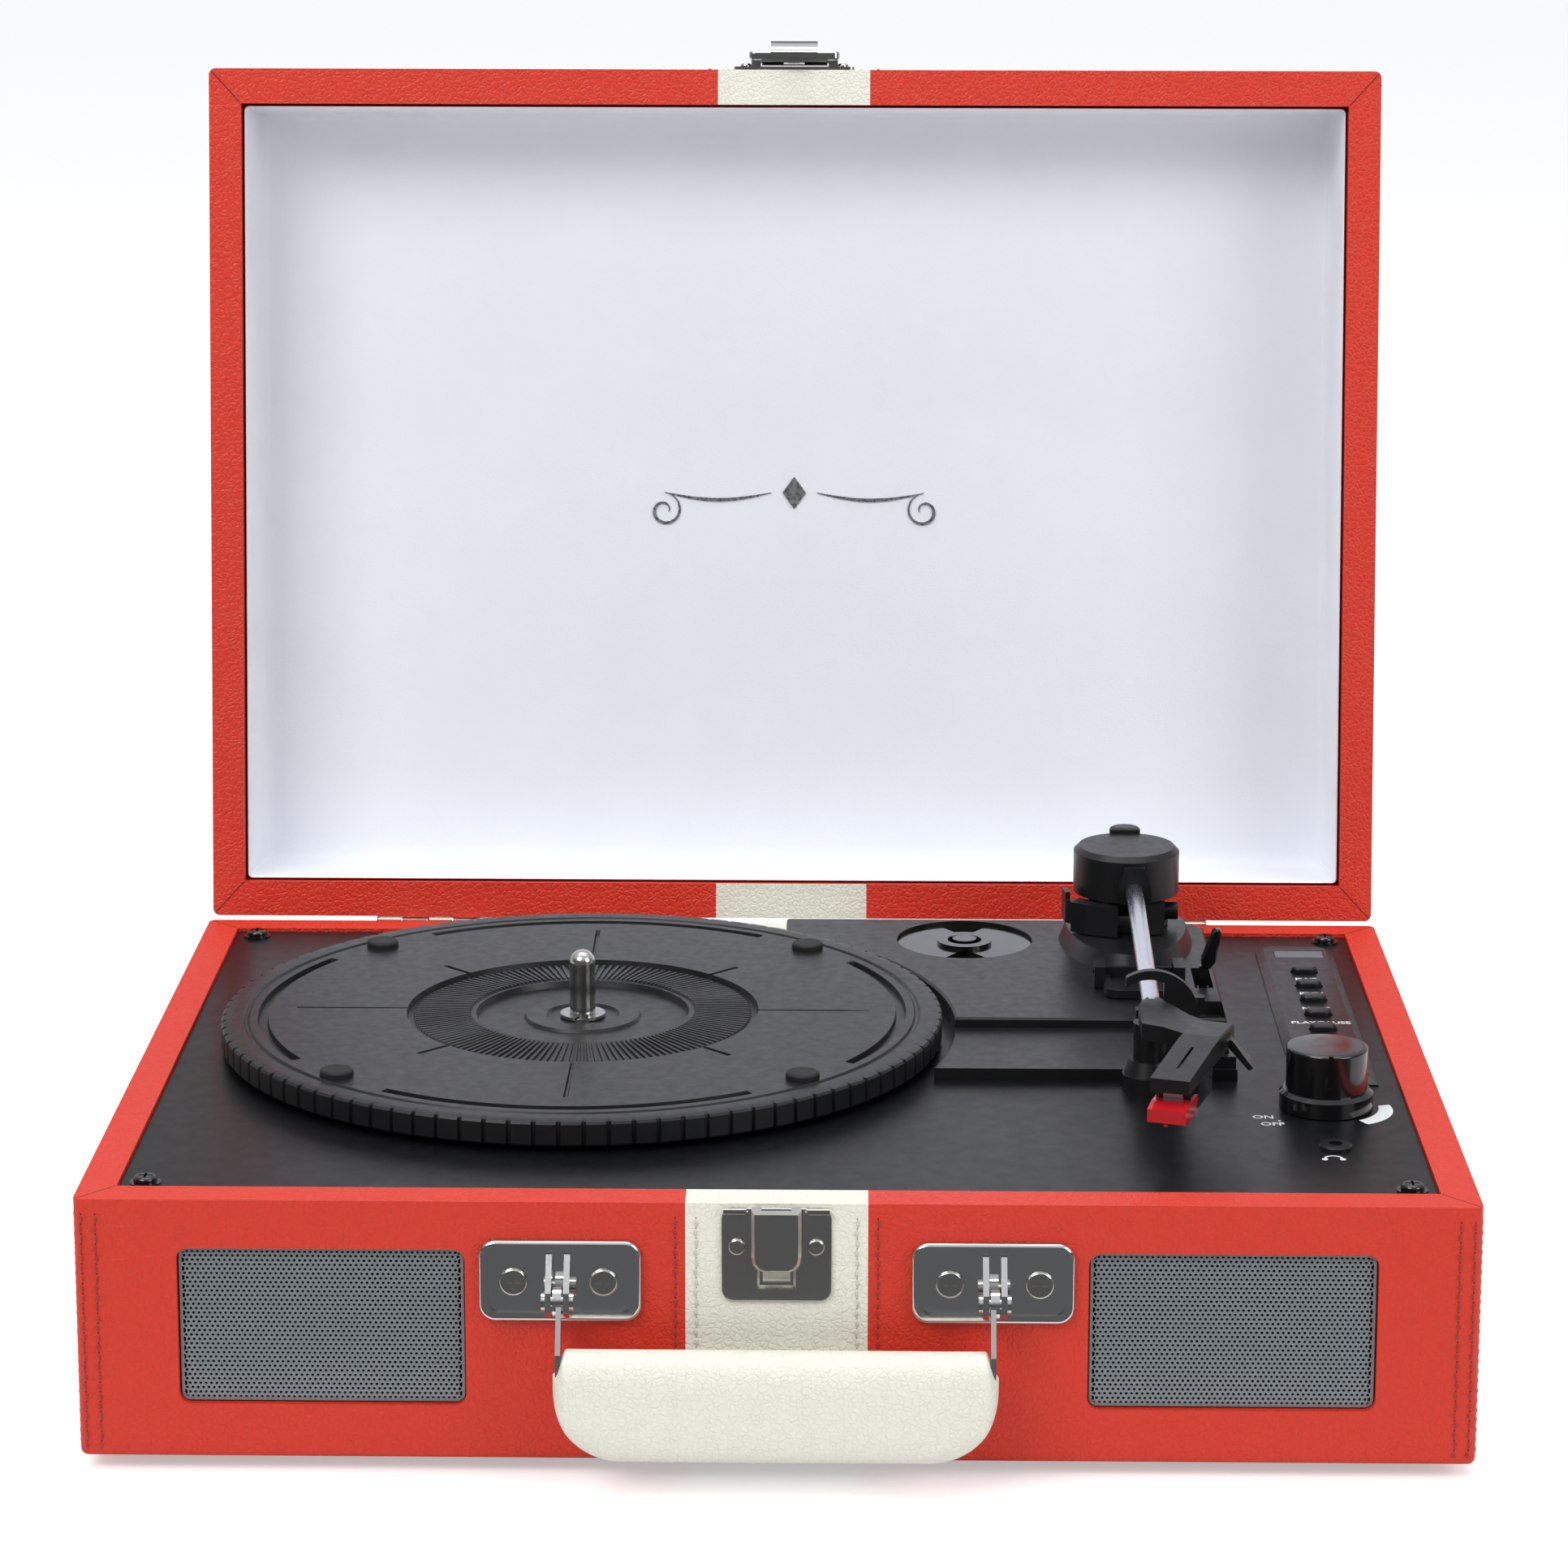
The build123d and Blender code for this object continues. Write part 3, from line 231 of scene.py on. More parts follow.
def deck_paint():
    """Black paint with fine lighter flecks."""
    p = Paint("deck_paint", (0.003, 0.0035, 0.004), rough=0.33)
    fleck = p.ramp(p.noise(2400, detail=2), low=0.62, high=0.72)
    p.vary_colour(fleck, dark=1.0, light=4.5)
    p.vary_rough(p.noise(200), spread=0.04)
    p.bump(p.noise(2000, detail=2), distance=0.00004, strength=0.6)
    return p.shader(Specular_IOR_Level=0.30).mat


def felt(name, colour):
    """Brushed lining cloth: short fibres, faint clouds, a soft sheen."""
    p = Paint(name, colour, rough=0.95)
    p.vary_colour(p.noise(34, detail=4), dark=0.955, light=1.02)
    warp_fibres = p.noise(1500, detail=4, rough=0.7, vector=p.stretched((1, 0.25, 1)))
    p.bump(warp_fibres, distance=0.00012, strength=0.5)
    weft_fibres = p.noise(2100, rough=0.7, vector=p.stretched((0.25, 1, 1)))
    p.bump(weft_fibres, distance=0.0001, strength=0.5)
    return p.shader(Sheen_Weight=0.25, Sheen_Roughness=0.6, Specular_IOR_Level=0.15).mat


def thread(name, colour):
    """Twisted sewing thread."""
    p = Paint(name, colour, rough=0.6)
    p.vary_colour(p.noise(900, detail=2), dark=0.8, light=1.1)
    twist = p.noise(5200, detail=2, vector=p.stretched((1, 1, 0.4)))
    p.bump(twist, distance=0.00008, strength=0.8)
    return p.shader(Sheen_Weight=0.2).mat


def circuit_resist():
    """Green board with faint tracks under its varnish."""
    p = Paint("circuit_resist", (0.01, 0.13, 0.04), rough=0.35)
    tracks = p.node("ShaderNodeTexBrick")
    tracks.inputs["Scale"].default_value = 240
    p.link(p.coords, tracks.inputs["Vector"])
    p.vary_colour(tracks.outputs["Fac"], dark=0.8, light=1.5)
    return p.bump(tracks.outputs["Fac"], distance=0.00003, strength=0.5).mat


RED = (0.63, 0.034, 0.014)
CREAM = (0.78, 0.78, 0.68)
PAINTS = {
    "red_leather": leather("red_vinyl", RED, rough=0.46),
    "cream_leather": leather("cream_vinyl", CREAM, rough=0.48),
    "lining": felt("lining_felt", (0.83, 0.85, 0.90)),
    "deck": deck_paint(),
    "black_plastic": satin_plastic("black_satin", (0.008, 0.0085, 0.009), rough=0.34),
    "gloss_black": gloss_plastic("black_gloss", (0.004, 0.004, 0.0045)),
    "platter_grey": satin_plastic("platter_black", (0.010, 0.011, 0.012), rough=0.36, grain=1300,
                                  depth=0.00006),
    "rubber": satin_plastic("soft_rubber", (0.010, 0.010, 0.011), rough=0.62, grain=2400, depth=0.00004),
    "chrome": metal("chrome_plate", (0.74, 0.74, 0.73), rough=0.09, spread=0.03),
    "nickel": metal("nickel_plate", (0.62, 0.61, 0.57), rough=0.17, spread=0.04),
    "steel": metal("brushed_steel", (0.50, 0.50, 0.50), rough=0.30, spread=0.08, stretch=(6, 0.3, 6)),
    "aluminium": metal("satin_aluminium", (0.78, 0.81, 0.88), rough=0.24, spread=0.05, stretch=(4, 0.2, 4)),
    "stylus_red": gloss_plastic("stylus_red_plastic", (0.50, 0.012, 0.018)),
    "grille": lacquered_steel("grille_silver", (0.25, 0.285, 0.30)),
    "paper_cone": satin_plastic("driver_cone", (0.012, 0.012, 0.012), rough=0.75, grain=800, depth=0.0001),
    "board_green": circuit_resist(),
    "led": gloss_plastic("smoked_window", (0.012, 0.011, 0.013)),
}
RED_THREAD = thread("red_thread", (0.36, 0.018, 0.012))
CREAM_THREAD = thread("cream_thread", (0.62, 0.62, 0.52))
# Darkened copies of the red and cream cover colours: painted shade in the needle holes, and the red one also in
# the mitred corner creases.
RED_SEAM_SHADE = satin_plastic("red_seam_shade", (0.10, 0.012, 0.008), rough=0.8)
CREAM_SEAM_SHADE = satin_plastic("cream_seam_shade", (0.30, 0.30, 0.25), rough=0.8)
PRINT_WHITE = satin_plastic("white_print", (0.70, 0.71, 0.71), rough=0.6, grain=2000, depth=0.00001)
SILVER_FOIL = metal("silver_foil", (0.62, 0.63, 0.65), rough=0.30, spread=0.12, depth=0.00003)

for row in frame["record"]["subparts"]:
    skin = frame["nodes"][row["node"]].data
    skin.materials.clear()
    skin.materials.append(PAINTS[row["material_slot"]])


# ---- mesh helpers ----
def add_piece(name, points, faces, body, material, sharp=35.0):
    """A mesh from points already in the part's metres."""
    mesh = bpy.data.meshes.new(name)
    mesh.from_pydata([tuple(p) for p in points], [], faces)
    mesh.validate()
    mesh.materials.append(material)
    mesh.polygons.foreach_set("use_smooth", [True] * len(mesh.polygons))
    mesh.set_sharp_from_angle(angle=radians(sharp))
    piece = bpy.data.objects.new(name, mesh)
    bpy.context.scene.collection.objects.link(piece)
    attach(piece, body)
    return piece


def grid_faces(rows, cols):
    """Quads between rows of points, each row closed on itself."""
    return [(r * cols + c, r * cols + (c + 1) % cols, (r + 1) * cols + (c + 1) % cols, (r + 1) * cols + c)
            for r in range(rows - 1) for c in range(cols)]


def closing_faces(rows, cols):
    """Quads from the last row back to the first."""
    last = (rows - 1) * cols
    return [(last + c, last + (c + 1) % cols, (c + 1) % cols, c) for c in range(cols)]


def flipped(faces):
    return [tuple(reversed(f)) for f in faces]


def round_row(centre, r, z, steps):
    """A closed row of points round an upright axis, in the case frame."""
    turns = [2 * pi * k / steps for k in range(steps)]
    return [at(centre.x + r * cos(a), centre.y + r * sin(a), z) for a in turns]


def rounded_outline(cx, cy, half_x, half_y, corner, steps):
    """A rectangle with round corners, as points of (x, y) from corner to corner."""
    points = []
    for kx, ky, start in ((1, 1, 0), (-1, 1, 90), (-1, -1, 180), (1, -1, 270)):
        for s in range(steps + 1):
            a = radians(start + 90 * s / steps)
            points.append((cx + kx * (half_x - corner) + corner * cos(a),
                           cy + ky * (half_y - corner) + corner * sin(a)))
    return points


# ---- stitching ----
STITCH_PITCH = 2.6
STITCH_LENGTH = 2.0
STITCH_R = 0.38
STITCH_RINGS, STITCH_SIDES = 7, 8
STITCH_BLUNT = 0.12      # its ends' radius, to that of its middle
STITCH_SWELL = 0.16      # how far its middle rises
STITCH_SUNK = 0.04       # how deep its ends lie
STITCH_LEAN = 0.12       # to one side and the other in turn
NEEDLE_LIFT = 0.03
NEEDLE_LONG, NEEDLE_WIDE = 0.26, 0.22

# Each cover colour's slot, its thread, and the painted shade for its needle holes.
SEWN = {"red": ("red_leather", RED_THREAD, RED_SEAM_SHADE), "cream": ("cream_leather", CREAM_THREAD, CREAM_SEAM_SHADE)}
BAND_SEAM_X = {"red": 25.2, "cream": 20.0}      # along both edges of the centre band
FRONT_SEAM_X = {"outer": 173.0, "inner": 169.4}
SIDE_SEAM_IN = 4.2
SIDE_SEAM_Y = {"front": SIDE_SEAM_IN, "back": DEPTH - SIDE_SEAM_IN}
BASE_SEAM = (-66.0, -1.5)
LID_SEAM = (2.5, 41.0)
LID_TOP_Z = 43.3
LID_TOP_SEAM = (3.0, 252.0)
TO_FRONT, TO_BACK, UP = (0, -1, 0), (0, 1, 0), (0, 0, 1)


def stitch(start, along, out):
    """Points and faces of one stitch lying half sunk in the cover."""
    side = along.cross(out).normalized()
    points = []
    for i in range(STITCH_RINGS):
        t = i / (STITCH_RINGS - 1)
        r = STITCH_R * max(STITCH_BLUNT, sqrt(max(0, 1 - (2 * t - 1) ** 4)))
        centre = start + along * (t * STITCH_LENGTH) + out * (STITCH_SWELL * sin(pi * t) - STITCH_SUNK)
        for k in range(STITCH_SIDES):
            a = 2 * pi * k / STITCH_SIDES
            points.append(centre + side * (r * cos(a)) + out * (r * sin(a)))
    faces = grid_faces(STITCH_RINGS, STITCH_SIDES)
    faces.append(tuple(reversed(range(STITCH_SIDES))))
    faces.append(tuple(range((STITCH_RINGS - 1) * STITCH_SIDES, STITCH_RINGS * STITCH_SIDES)))
    return points, faces


def stitch_row(name, start, end, out, colour, body="chassis", place=at):
    """A row of stitches from start to end in the case frame, with needle holes between as flat dark patches of
    painted shade.
    """
    slot, yarn, hole_shade = SEWN[colour]
    a, b, out = Vector(start), Vector(end), Vector(out)
    along = (b - a).normalized()
    side = along.cross(out).normalized()
    hole_at = (STITCH_PITCH + STITCH_LENGTH) / 2
    points, faces, holes, hole_faces = [], [], [], []
    for i in range(int((b - a).length / STITCH_PITCH)):
        begin = a + along * (i * STITCH_PITCH)
        lean = side * (STITCH_LEAN if i % 2 else -STITCH_LEAN)
        p, f = stitch(begin + lean, along, out)
        faces += [tuple(k + len(points) for k in face) for face in f]
        points += p
        # Each needle hole is a flat six-sided patch of painted shade, a hair above the cover.
        middle = begin + along * hole_at + out * NEEDLE_LIFT
        hole_faces.append(tuple(range(len(holes), len(holes) + 6)))
        for k in range(6):
            turn = pi * k / 3
            holes.append(middle + along * (NEEDLE_LONG * cos(turn)) + side * (NEEDLE_WIDE * sin(turn)))
    add_piece(name, [place(*p) for p in points], faces, body, yarn)
    add_piece(name + "_holes", [place(*p) for p in holes], hole_faces, body, hole_shade)


def upright_row(name, x, y, span, out, colour, body="chassis", place=at):
    """A row up a wall, from the lower height in span to the higher."""
    stitch_row(name, (x, y, span[0]), (x, y, span[1]), out, colour, body, place)


def base_stitching():
    for side, sx in SIDES:
        for row, x in FRONT_SEAM_X.items():
            upright_row(f"stitch_front_{row}_{side}", sx * x, 0, BASE_SEAM, TO_FRONT, "red")
        for colour, x in BAND_SEAM_X.items():
            upright_row(f"stitch_{colour}_{side}", sx * x, 0, BASE_SEAM, TO_FRONT, colour)
        for colour, x in BAND_SEAM_X.items():
            upright_row(f"stitch_back_{colour}_{side}", sx * x, DEPTH, BASE_SEAM, TO_BACK, colour)
        for end, y in SIDE_SEAM_Y.items():
            upright_row(f"stitch_side_{end}_{side}", sx * HALF_W, y, BASE_SEAM, (sx, 0, 0), "red")


def lid_stitching():
    """Rows each side of the band over the lid's front wall and top, and at its four corners."""
    y0, y1 = LID_TOP_SEAM
    for side, sx in SIDES:
        for colour, x in BAND_SEAM_X.items():
            stitch_row(f"stitch_lid_top_{colour}_{side}", (sx * x, y0, LID_TOP_Z), (sx * x, y1, LID_TOP_Z),
                       UP, colour, "lid", in_lid)
            upright_row(f"stitch_lid_front_{colour}_{side}", sx * x, 0, LID_SEAM, TO_FRONT, colour,
                        "lid", in_lid)
        for end, y in SIDE_SEAM_Y.items():
            upright_row(f"stitch_lid_side_{end}_{side}", sx * HALF_W, y, LID_SEAM, (sx, 0, 0), "red",
                        "lid", in_lid)


CREASE_HALF, CREASE_RISE = 0.16, 0.06
CREASE_OUT_X, CREASE_OUT_Y = 0.8, 0.9    # the mitres' outer ends, in from the outer faces
CREASE_IN_X = 165.7
BASE_CREASE_IN_Y, LID_CREASE_IN_Y = (10.4, 246.2), (10.2, 244.8)
LID_RIM_Z = 0.3


def crease(name, start, end, body, place, out):
    """A fine three-sided ridge from start to end, coloured as painted shade of the seam."""
    a, b, out = Vector(start), Vector(end), Vector(out)
    side = (b - a).normalized().cross(out).normalized() * CREASE_HALF
    up = out * CREASE_RISE
    points = [a - side, a + side, a + up, b - side, b + side, b + up]
    faces = [(0, 1, 2), (3, 5, 4), (0, 2, 5, 3), (2, 1, 4, 5), (1, 0, 3, 4)]
    # Drawn in the darkened red: painted shade along the seam.
    add_piece(name, [place(*p) for p in points], faces, body, RED_SEAM_SHADE, sharp=10)


def corner_seams():
    """Fine creases where the cover is mitred at the corners of both rims, their dark colour painted shade."""
    for tag, body, place, z, out, y_in in (("base", "chassis", at, 0.0, (0, 0, 1), BASE_CREASE_IN_Y),
                                           ("lid", "lid", in_lid, LID_RIM_Z, (0, 0, -1), LID_CREASE_IN_Y)):
        for side, sx in SIDES:
            for end, y_out, y in (("front", CREASE_OUT_Y, y_in[0]), ("back", DEPTH - CREASE_OUT_Y, y_in[1])):
                outer, inner = (sx * (HALF_W - CREASE_OUT_X), y_out, z), (sx * CREASE_IN_X, y, z)
                crease(f"seam_{tag}_{end}_{side}", outer, inner, body, place, out)


# ---- perforated grilles ----
HOLE_PITCH = 1.34
HOLE_R = 0.40
HOLE_MOUTH = 1.12        # radius of a hole's pressed mouth, to its own
HOLE_DIP = 0.12          # depth of the mouth
GRILLE_X = 113.55
GRILLE_HALF_W = 35.7
GRILLE_Y = 1.7
GRILLE_T = 0.5
GRILLE_PLAIN = 1.0       # width and height without holes, both edges together
GRILLE_CORNER = 2.2
GRILLE_CORNER_STEPS = 6
GRILLE_LEAST_CORNER = 0.3
# The folded edge, as its distance in from the outside and its place behind the front face.
GRILLE_FOLD = ((0.0, 2.1), (0.2, 1.72), (0.55, 1.66), (0.9, 1.72), (0.9, 2.3), (0.0, 2.3), (0.0, 8.5))


def grille_plate(name, cx, z0, z1):
    """A pressed plate of six-sided holes in staggered rows."""
    row_h = HOLE_PITCH * sqrt(3) / 2
    cols = int((2 * GRILLE_HALF_W - GRILLE_PLAIN) / HOLE_PITCH)
    rows = int((z1 - z0 - GRILLE_PLAIN) / row_h)
    left = cx - cols * HOLE_PITCH / 2
    bottom = (z0 + z1) / 2 - rows * row_h / 2
    cell = ((HOLE_PITCH / sqrt(3), 0.0), (HOLE_R * HOLE_MOUTH, 0.0), (HOLE_R, HOLE_DIP), (HOLE_R, GRILLE_T))
    cell_faces = grid_faces(len(cell), 6)
    points, faces = [], []
    for r in range(rows):
        odd = r % 2
        for c in range(cols - odd):
            x = left + (c + 0.5 + 0.5 * odd) * HOLE_PITCH
            z = bottom + (r + 0.5) * row_h
            base = len(points)
            for radius, y in cell:
                for k in range(6):
                    a = pi / 6 + pi * k / 3
                    points.append(at(x + radius * cos(a), GRILLE_Y + y, z + radius * sin(a)))
            faces += [tuple(base + i for i in f) for f in cell_faces]
    return add_piece(name, points, faces, "chassis", PAINTS["grille"], sharp=25)


def grille_frame(name, cx, z0, z1):
    """The folded edge round the plate, set back in its opening in the cover."""
    half_z = (z1 - z0) / 2
    points = []
    for inset, y in GRILLE_FOLD:
        corner = max(GRILLE_LEAST_CORNER, GRILLE_CORNER - inset)
        outline = rounded_outline(cx, (z0 + z1) / 2, GRILLE_HALF_W - inset, half_z - inset, corner,
                                  GRILLE_CORNER_STEPS)
        points += [at(x, y, z) for x, z in outline]
    faces = grid_faces(len(GRILLE_FOLD), len(outline))
    add_piece(name, points, faces, "chassis", PAINTS["grille"], sharp=50)


def grilles():
    low, high = case_box("speaker_grilles")
    for side, sx in SIDES:
        grille_plate(f"grille_holes_{side}", sx * GRILLE_X, low.z, high.z)
        grille_frame(f"grille_frame_{side}", sx * GRILLE_X, low.z, high.z)
    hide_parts("speaker_grilles")


# ---- platter ----
SPIN_JOINT = next(j for j in frame["joints"] if j["name"] == "platter_spin")
PLATTER = (Vector(SPIN_JOINT["pos_m"]) - FRONT) / MM
STEPS = 1440
RIM_RIBS, RIM_DUTY = 96, 0.85
HUB_RIBS = 144
PAD_ANGLES = [45 + 90 * k for k in range(4)]
PAD_CLEAR = 12           # degrees that the arc slots stop short of a pad

# The upper surface: radii from the axis, heights above the case rim, depths below the top.
SOCKET_R, SOCKET_Z = 16, 6.2
DISH_R, DISH_Z = 29.2, 5.4
CONE_R, CONE_Z, CONE_FALL = 47.2, 7.0, 0.9
FAN_FROM, FAN_TO, FAN_RIB = 31, 46.6, 0.55
GROOVE_R, GROOVE_Z = 48.4, 5.9
TOP_Z = 7.5
SLIT_DEPTH = 0.9
LONG_SLIT_R, LONG_SLIT_HALF = 79, 0.42
SHORT_SLIT_R, SHORT_SLIT_HALF = 59, 0.55
ARC_FROM, ARC_TO, ARC_DEPTH = 86.6, 89.3, 1.5
LINE_FROM, LINE_TO, LINE_DEPTH = 91.9, 93.1, 0.6
# A row of points on each side of every edge above, and a few between.
TOP_RADII = (10.2, 12, 15.6, 16.2, 20, 28.8, 29.4, 30.8, 31.2, 36, 41, 46.4, 46.8, 47.4, 48.2, 48.6, 54, 58.8,
             59.2, 70, 78.6, 79.4, 84, 86.5, 86.8, 89.1, 89.4, 91.6, 92.1, 92.9, 93.4, 96.0)
# Over the rim and back under the plate: radius on a rib, radius between ribs, height.
RIM_ROWS = ((97.4, 97.3, 7.45), (98.9, 98.1, 7.2), (99.4, 98.4, 6.6), (99.4, 98.4, 1.3), (99.0, 98.2, 0.75),
            (95.2, 95.2, 0.75), (95.0, 95.0, 4.7), (10.2, 10.2, 4.7))
# The bearing's sleeve inside the plate, as radius and height.
SLEEVE = ((3.72, 4.1), (3.72, 5.3), (4.2, 5.5), (9.6, 5.5), (10.2, 6.2), (10.2, 0.9), (3.72, 0.9))
SLEEVE_STEPS = 96


def on_rib(step, count, duty=0.5):
    """Whether a step round the circle falls on a rib or in the gap after it."""
    return (step * count / STEPS) % 1.0 < duty


def from_pad(degrees):
    return min(abs((degrees - a + 180) % 360 - 180) for a in PAD_ANGLES)


def top_height(r, step):
    """The platter's upper surface, in millimetres above the case rim."""
    degrees = 360 * step / STEPS
    if r < SOCKET_R:
        return SOCKET_Z
    if r < DISH_R:
        return DISH_Z
    if r < CONE_R:
        rib = FAN_RIB if FAN_FROM < r < FAN_TO and on_rib(step, HUB_RIBS) else 0
        return CONE_Z - CONE_FALL * (r - DISH_R) / (CONE_R - DISH_R) + rib
    if r < GROOVE_R:
        return GROOVE_Z
    height = TOP_Z
    quarter = min(degrees % 90, 90 - degrees % 90)
    eighth = abs(degrees % 90 - 45)
    long_slit = r < LONG_SLIT_R and radians(quarter) * r < LONG_SLIT_HALF
    short_slit = r < SHORT_SLIT_R and radians(eighth) * r < SHORT_SLIT_HALF
    if long_slit or short_slit:
        height -= SLIT_DEPTH
    if ARC_FROM < r < ARC_TO and from_pad(degrees) > PAD_CLEAR:
        height -= ARC_DEPTH
    if LINE_FROM < r < LINE_TO:
        height -= LINE_DEPTH
    return height


def platter():
    """A moulded platter: ribbed rim, arc slots, radial slits and a finely ribbed ring."""
    points = []
    turns = [2 * pi * s / STEPS for s in range(STEPS)]
    for r in TOP_RADII:
        for s, a in enumerate(turns):
            points.append(at(PLATTER.x + r * cos(a), PLATTER.y + r * sin(a), top_height(r, s)))
    for r_rib, r_gap, z in RIM_ROWS:
        for s, a in enumerate(turns):
            r = r_rib if on_rib(s, RIM_RIBS, RIM_DUTY) else r_gap
            points.append(at(PLATTER.x + r * cos(a), PLATTER.y + r * sin(a), z))
    rows = len(TOP_RADII) + len(RIM_ROWS)
    faces = grid_faces(rows, STEPS) + closing_faces(rows, STEPS)
    body = add_piece("platter_moulding", points, flipped(faces), "platter",
                     PAINTS["platter_grey"], sharp=28)
    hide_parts("platter")
    sleeve = []
    for r, z in SLEEVE:
        sleeve += round_row(PLATTER, r, z, SLEEVE_STEPS)
    faces = grid_faces(len(SLEEVE), SLEEVE_STEPS) + closing_faces(len(SLEEVE), SLEEVE_STEPS)
    add_piece("platter_hub", sleeve, flipped(faces), "platter",
              PAINTS["platter_grey"], sharp=30)


# ---- handle grip ----
GRIP_AROUND, GRIP_STATIONS = 56, 97
GRIP_CORNER = 17.0       # radius of the lower corners, seen from the front
GRIP_NOTCH, GRIP_NOTCH_RUN, GRIP_NOTCH_DROP = 3.2, 2.4, 4.6      # the top corners, round the straps
GRIP_CLOSE = 3.4         # the length over which each end closes
GRIP_CROWN = 0.07        # how much of its thickness is only in the middle
GRIP_LEAST = 0.06        # the closed ends' thickness, to the full one
GRIP_END_H = 0.55        # the closed ends' height, to the full one
GRIP_SIDE_POWER = 2 / 2.7
GRIP_TOP_POWER = 0.55    # under 1, a section is squarer than an ellipse


def powered(value, power):
    return copysign(abs(value) ** power, value)


def handle():
    """A padded grip, crowned across and along, closed by rounded ends."""
    low, high = case_box("handle_grip")
    half, mid_y, half_y = (high.x - low.x) / 2, (low.y + high.y) / 2, (high.y - low.y) / 2

    def into_end(x, length):
        """How far x is into the last part of the grip, of that length."""
        return max(0.0, abs(x) - (half - length))

    points = []
    for i in range(GRIP_STATIONS):
        u = sin(pi / 2 * (2 * i / (GRIP_STATIONS - 1) - 1))
        x = half * u
        past = into_end(x, GRIP_CORNER) / GRIP_CORNER
        bottom = low.z + GRIP_CORNER * (1 - sqrt(max(0.0, 1 - past ** 2)))
        notch = min(1.0, into_end(x, GRIP_NOTCH) / GRIP_NOTCH_RUN)
        top = high.z - GRIP_NOTCH_DROP * notch ** 2 * (3 - 2 * notch)
        full = sqrt(max(0.0, 1 - (into_end(x, GRIP_CLOSE) / GRIP_CLOSE) ** 2))
        wide = half_y * (1 - GRIP_CROWN + GRIP_CROWN * cos(pi / 2 * u)) * max(GRIP_LEAST, full)
        mid_z, tall = (top + bottom) / 2, (top - bottom) / 2 * (GRIP_END_H + (1 - GRIP_END_H) * full)
        for k in range(GRIP_AROUND):
            a = 2 * pi * k / GRIP_AROUND
            y = mid_y + wide * powered(cos(a), GRIP_SIDE_POWER)
            z = mid_z + tall * powered(sin(a), GRIP_SIDE_POWER if sin(a) < 0 else GRIP_TOP_POWER)
            points.append(at(x, y, z))
    faces = grid_faces(GRIP_STATIONS, GRIP_AROUND)
    faces.append(tuple(range(GRIP_AROUND)))
    faces.append(tuple(reversed(range((GRIP_STATIONS - 1) * GRIP_AROUND, GRIP_STATIONS * GRIP_AROUND))))
    grip = add_piece("handle_padded_grip", points, flipped(faces), "handle",
                     PAINTS["cream_leather"], sharp=60)
    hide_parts("handle_grip")


# ---- lid lining ----
LINING_HALF_X = 165.2
LINING_FRONT, LINING_BACK = 10.7, 244.3
PANEL_Z = 38.7           # the padded panel's height in the closed lid
CLOTH_T = 0.5
# From the rim up the wall and over the panel, as distance in from the outside and height.
LINING_PROFILE = ((0.1, 4.6), (0.5, 3.5), (0.8, 3.9), (0.7, 7), (0.6, 14), (0.7, 24), (0.9, 32), (1.3, 35.6),
                  (2.2, 37.6), (3.8, PANEL_Z - 0.2), (7.0, PANEL_Z), (12, PANEL_Z), (22, PANEL_Z - 0.05),
                  (40, PANEL_Z - 0.1), (62, PANEL_Z - 0.15), (90, PANEL_Z - 0.2), (112, PANEL_Z - 0.2))
LINING_SIDE_STEPS, LINING_CORNER_STEPS = 44, 6
LINING_CORNER = 1.4
RIPPLE = 0.22 / 120      # the walls' faint waves, as a share of the distance from the middle
RIPPLE_LOW, RIPPLE_HIGH = 6, 37
RIPPLE_FAST, RIPPLE_SLOW = 0.9, 0.37     # radians of wave from one point to the next


def filled_outline(outline):
    """The outline with points added along its four straight sides."""
    loop = []
    for n, (x, y) in enumerate(outline):
        next_x, next_y = outline[(n + 1) % len(outline)]
        loop.append((x, y))
        if (n + 1) % (LINING_CORNER_STEPS + 1) == 0:
            for step in range(1, LINING_SIDE_STEPS):
                t = step / LINING_SIDE_STEPS
                loop.append((x + (next_x - x) * t, y + (next_y - y) * t))
    return loop


def lining():
    """Brushed cloth over thin padding: soft walls and a very slightly pillowed back."""
    cy, half_y = (LINING_FRONT + LINING_BACK) / 2, (LINING_BACK - LINING_FRONT) / 2
    points = []
    for inset, z in LINING_PROFILE:
        hx, hy = LINING_HALF_X - inset, half_y - inset
        loop = filled_outline(rounded_outline(0, cy, hx, hy, LINING_CORNER, LINING_CORNER_STEPS))
        for n, (x, y) in enumerate(loop):
            wave = sin(n * RIPPLE_FAST) * sin(n * RIPPLE_SLOW + 1) if RIPPLE_LOW < z < RIPPLE_HIGH else 0.0
            scale = 1 - RIPPLE * wave
            points.append(in_lid(x * scale, cy + (y - cy) * scale, z))
    rows, per_row = len(LINING_PROFILE), len(loop)
    faces = grid_faces(rows, per_row)
    faces.append(tuple(range((rows - 1) * per_row, rows * per_row)))
    cloth = add_piece("lid_padded_lining", points, faces, "lid", PAINTS["lining"], sharp=60)
    solid = cloth.modifiers.new("thickness", "SOLIDIFY")
    solid.thickness = CLOTH_T * MM
    solid.offset = 1
    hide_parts("lid_lining")


# ---- foil ornament on the lining ----
FOIL_Z = 37.95
FOIL_Y = 128.0
RULE_FROM, RULE_TO = 7, 40
RULE_RISE, RULE_W, RULE_STEPS = 2.2, 1.1, 40
CURL_R, CURL_CLOSES, CURL_HALF_TURNS = 5.5, 4.2, 2.6
CURL_W, CURL_STEPS = 1.0, 48
FOIL_TIP = 0.25          # a strip's width at its ends, to its middle
DIAMOND_HALF_X, DIAMOND_HALF_Y = 3.6, 5


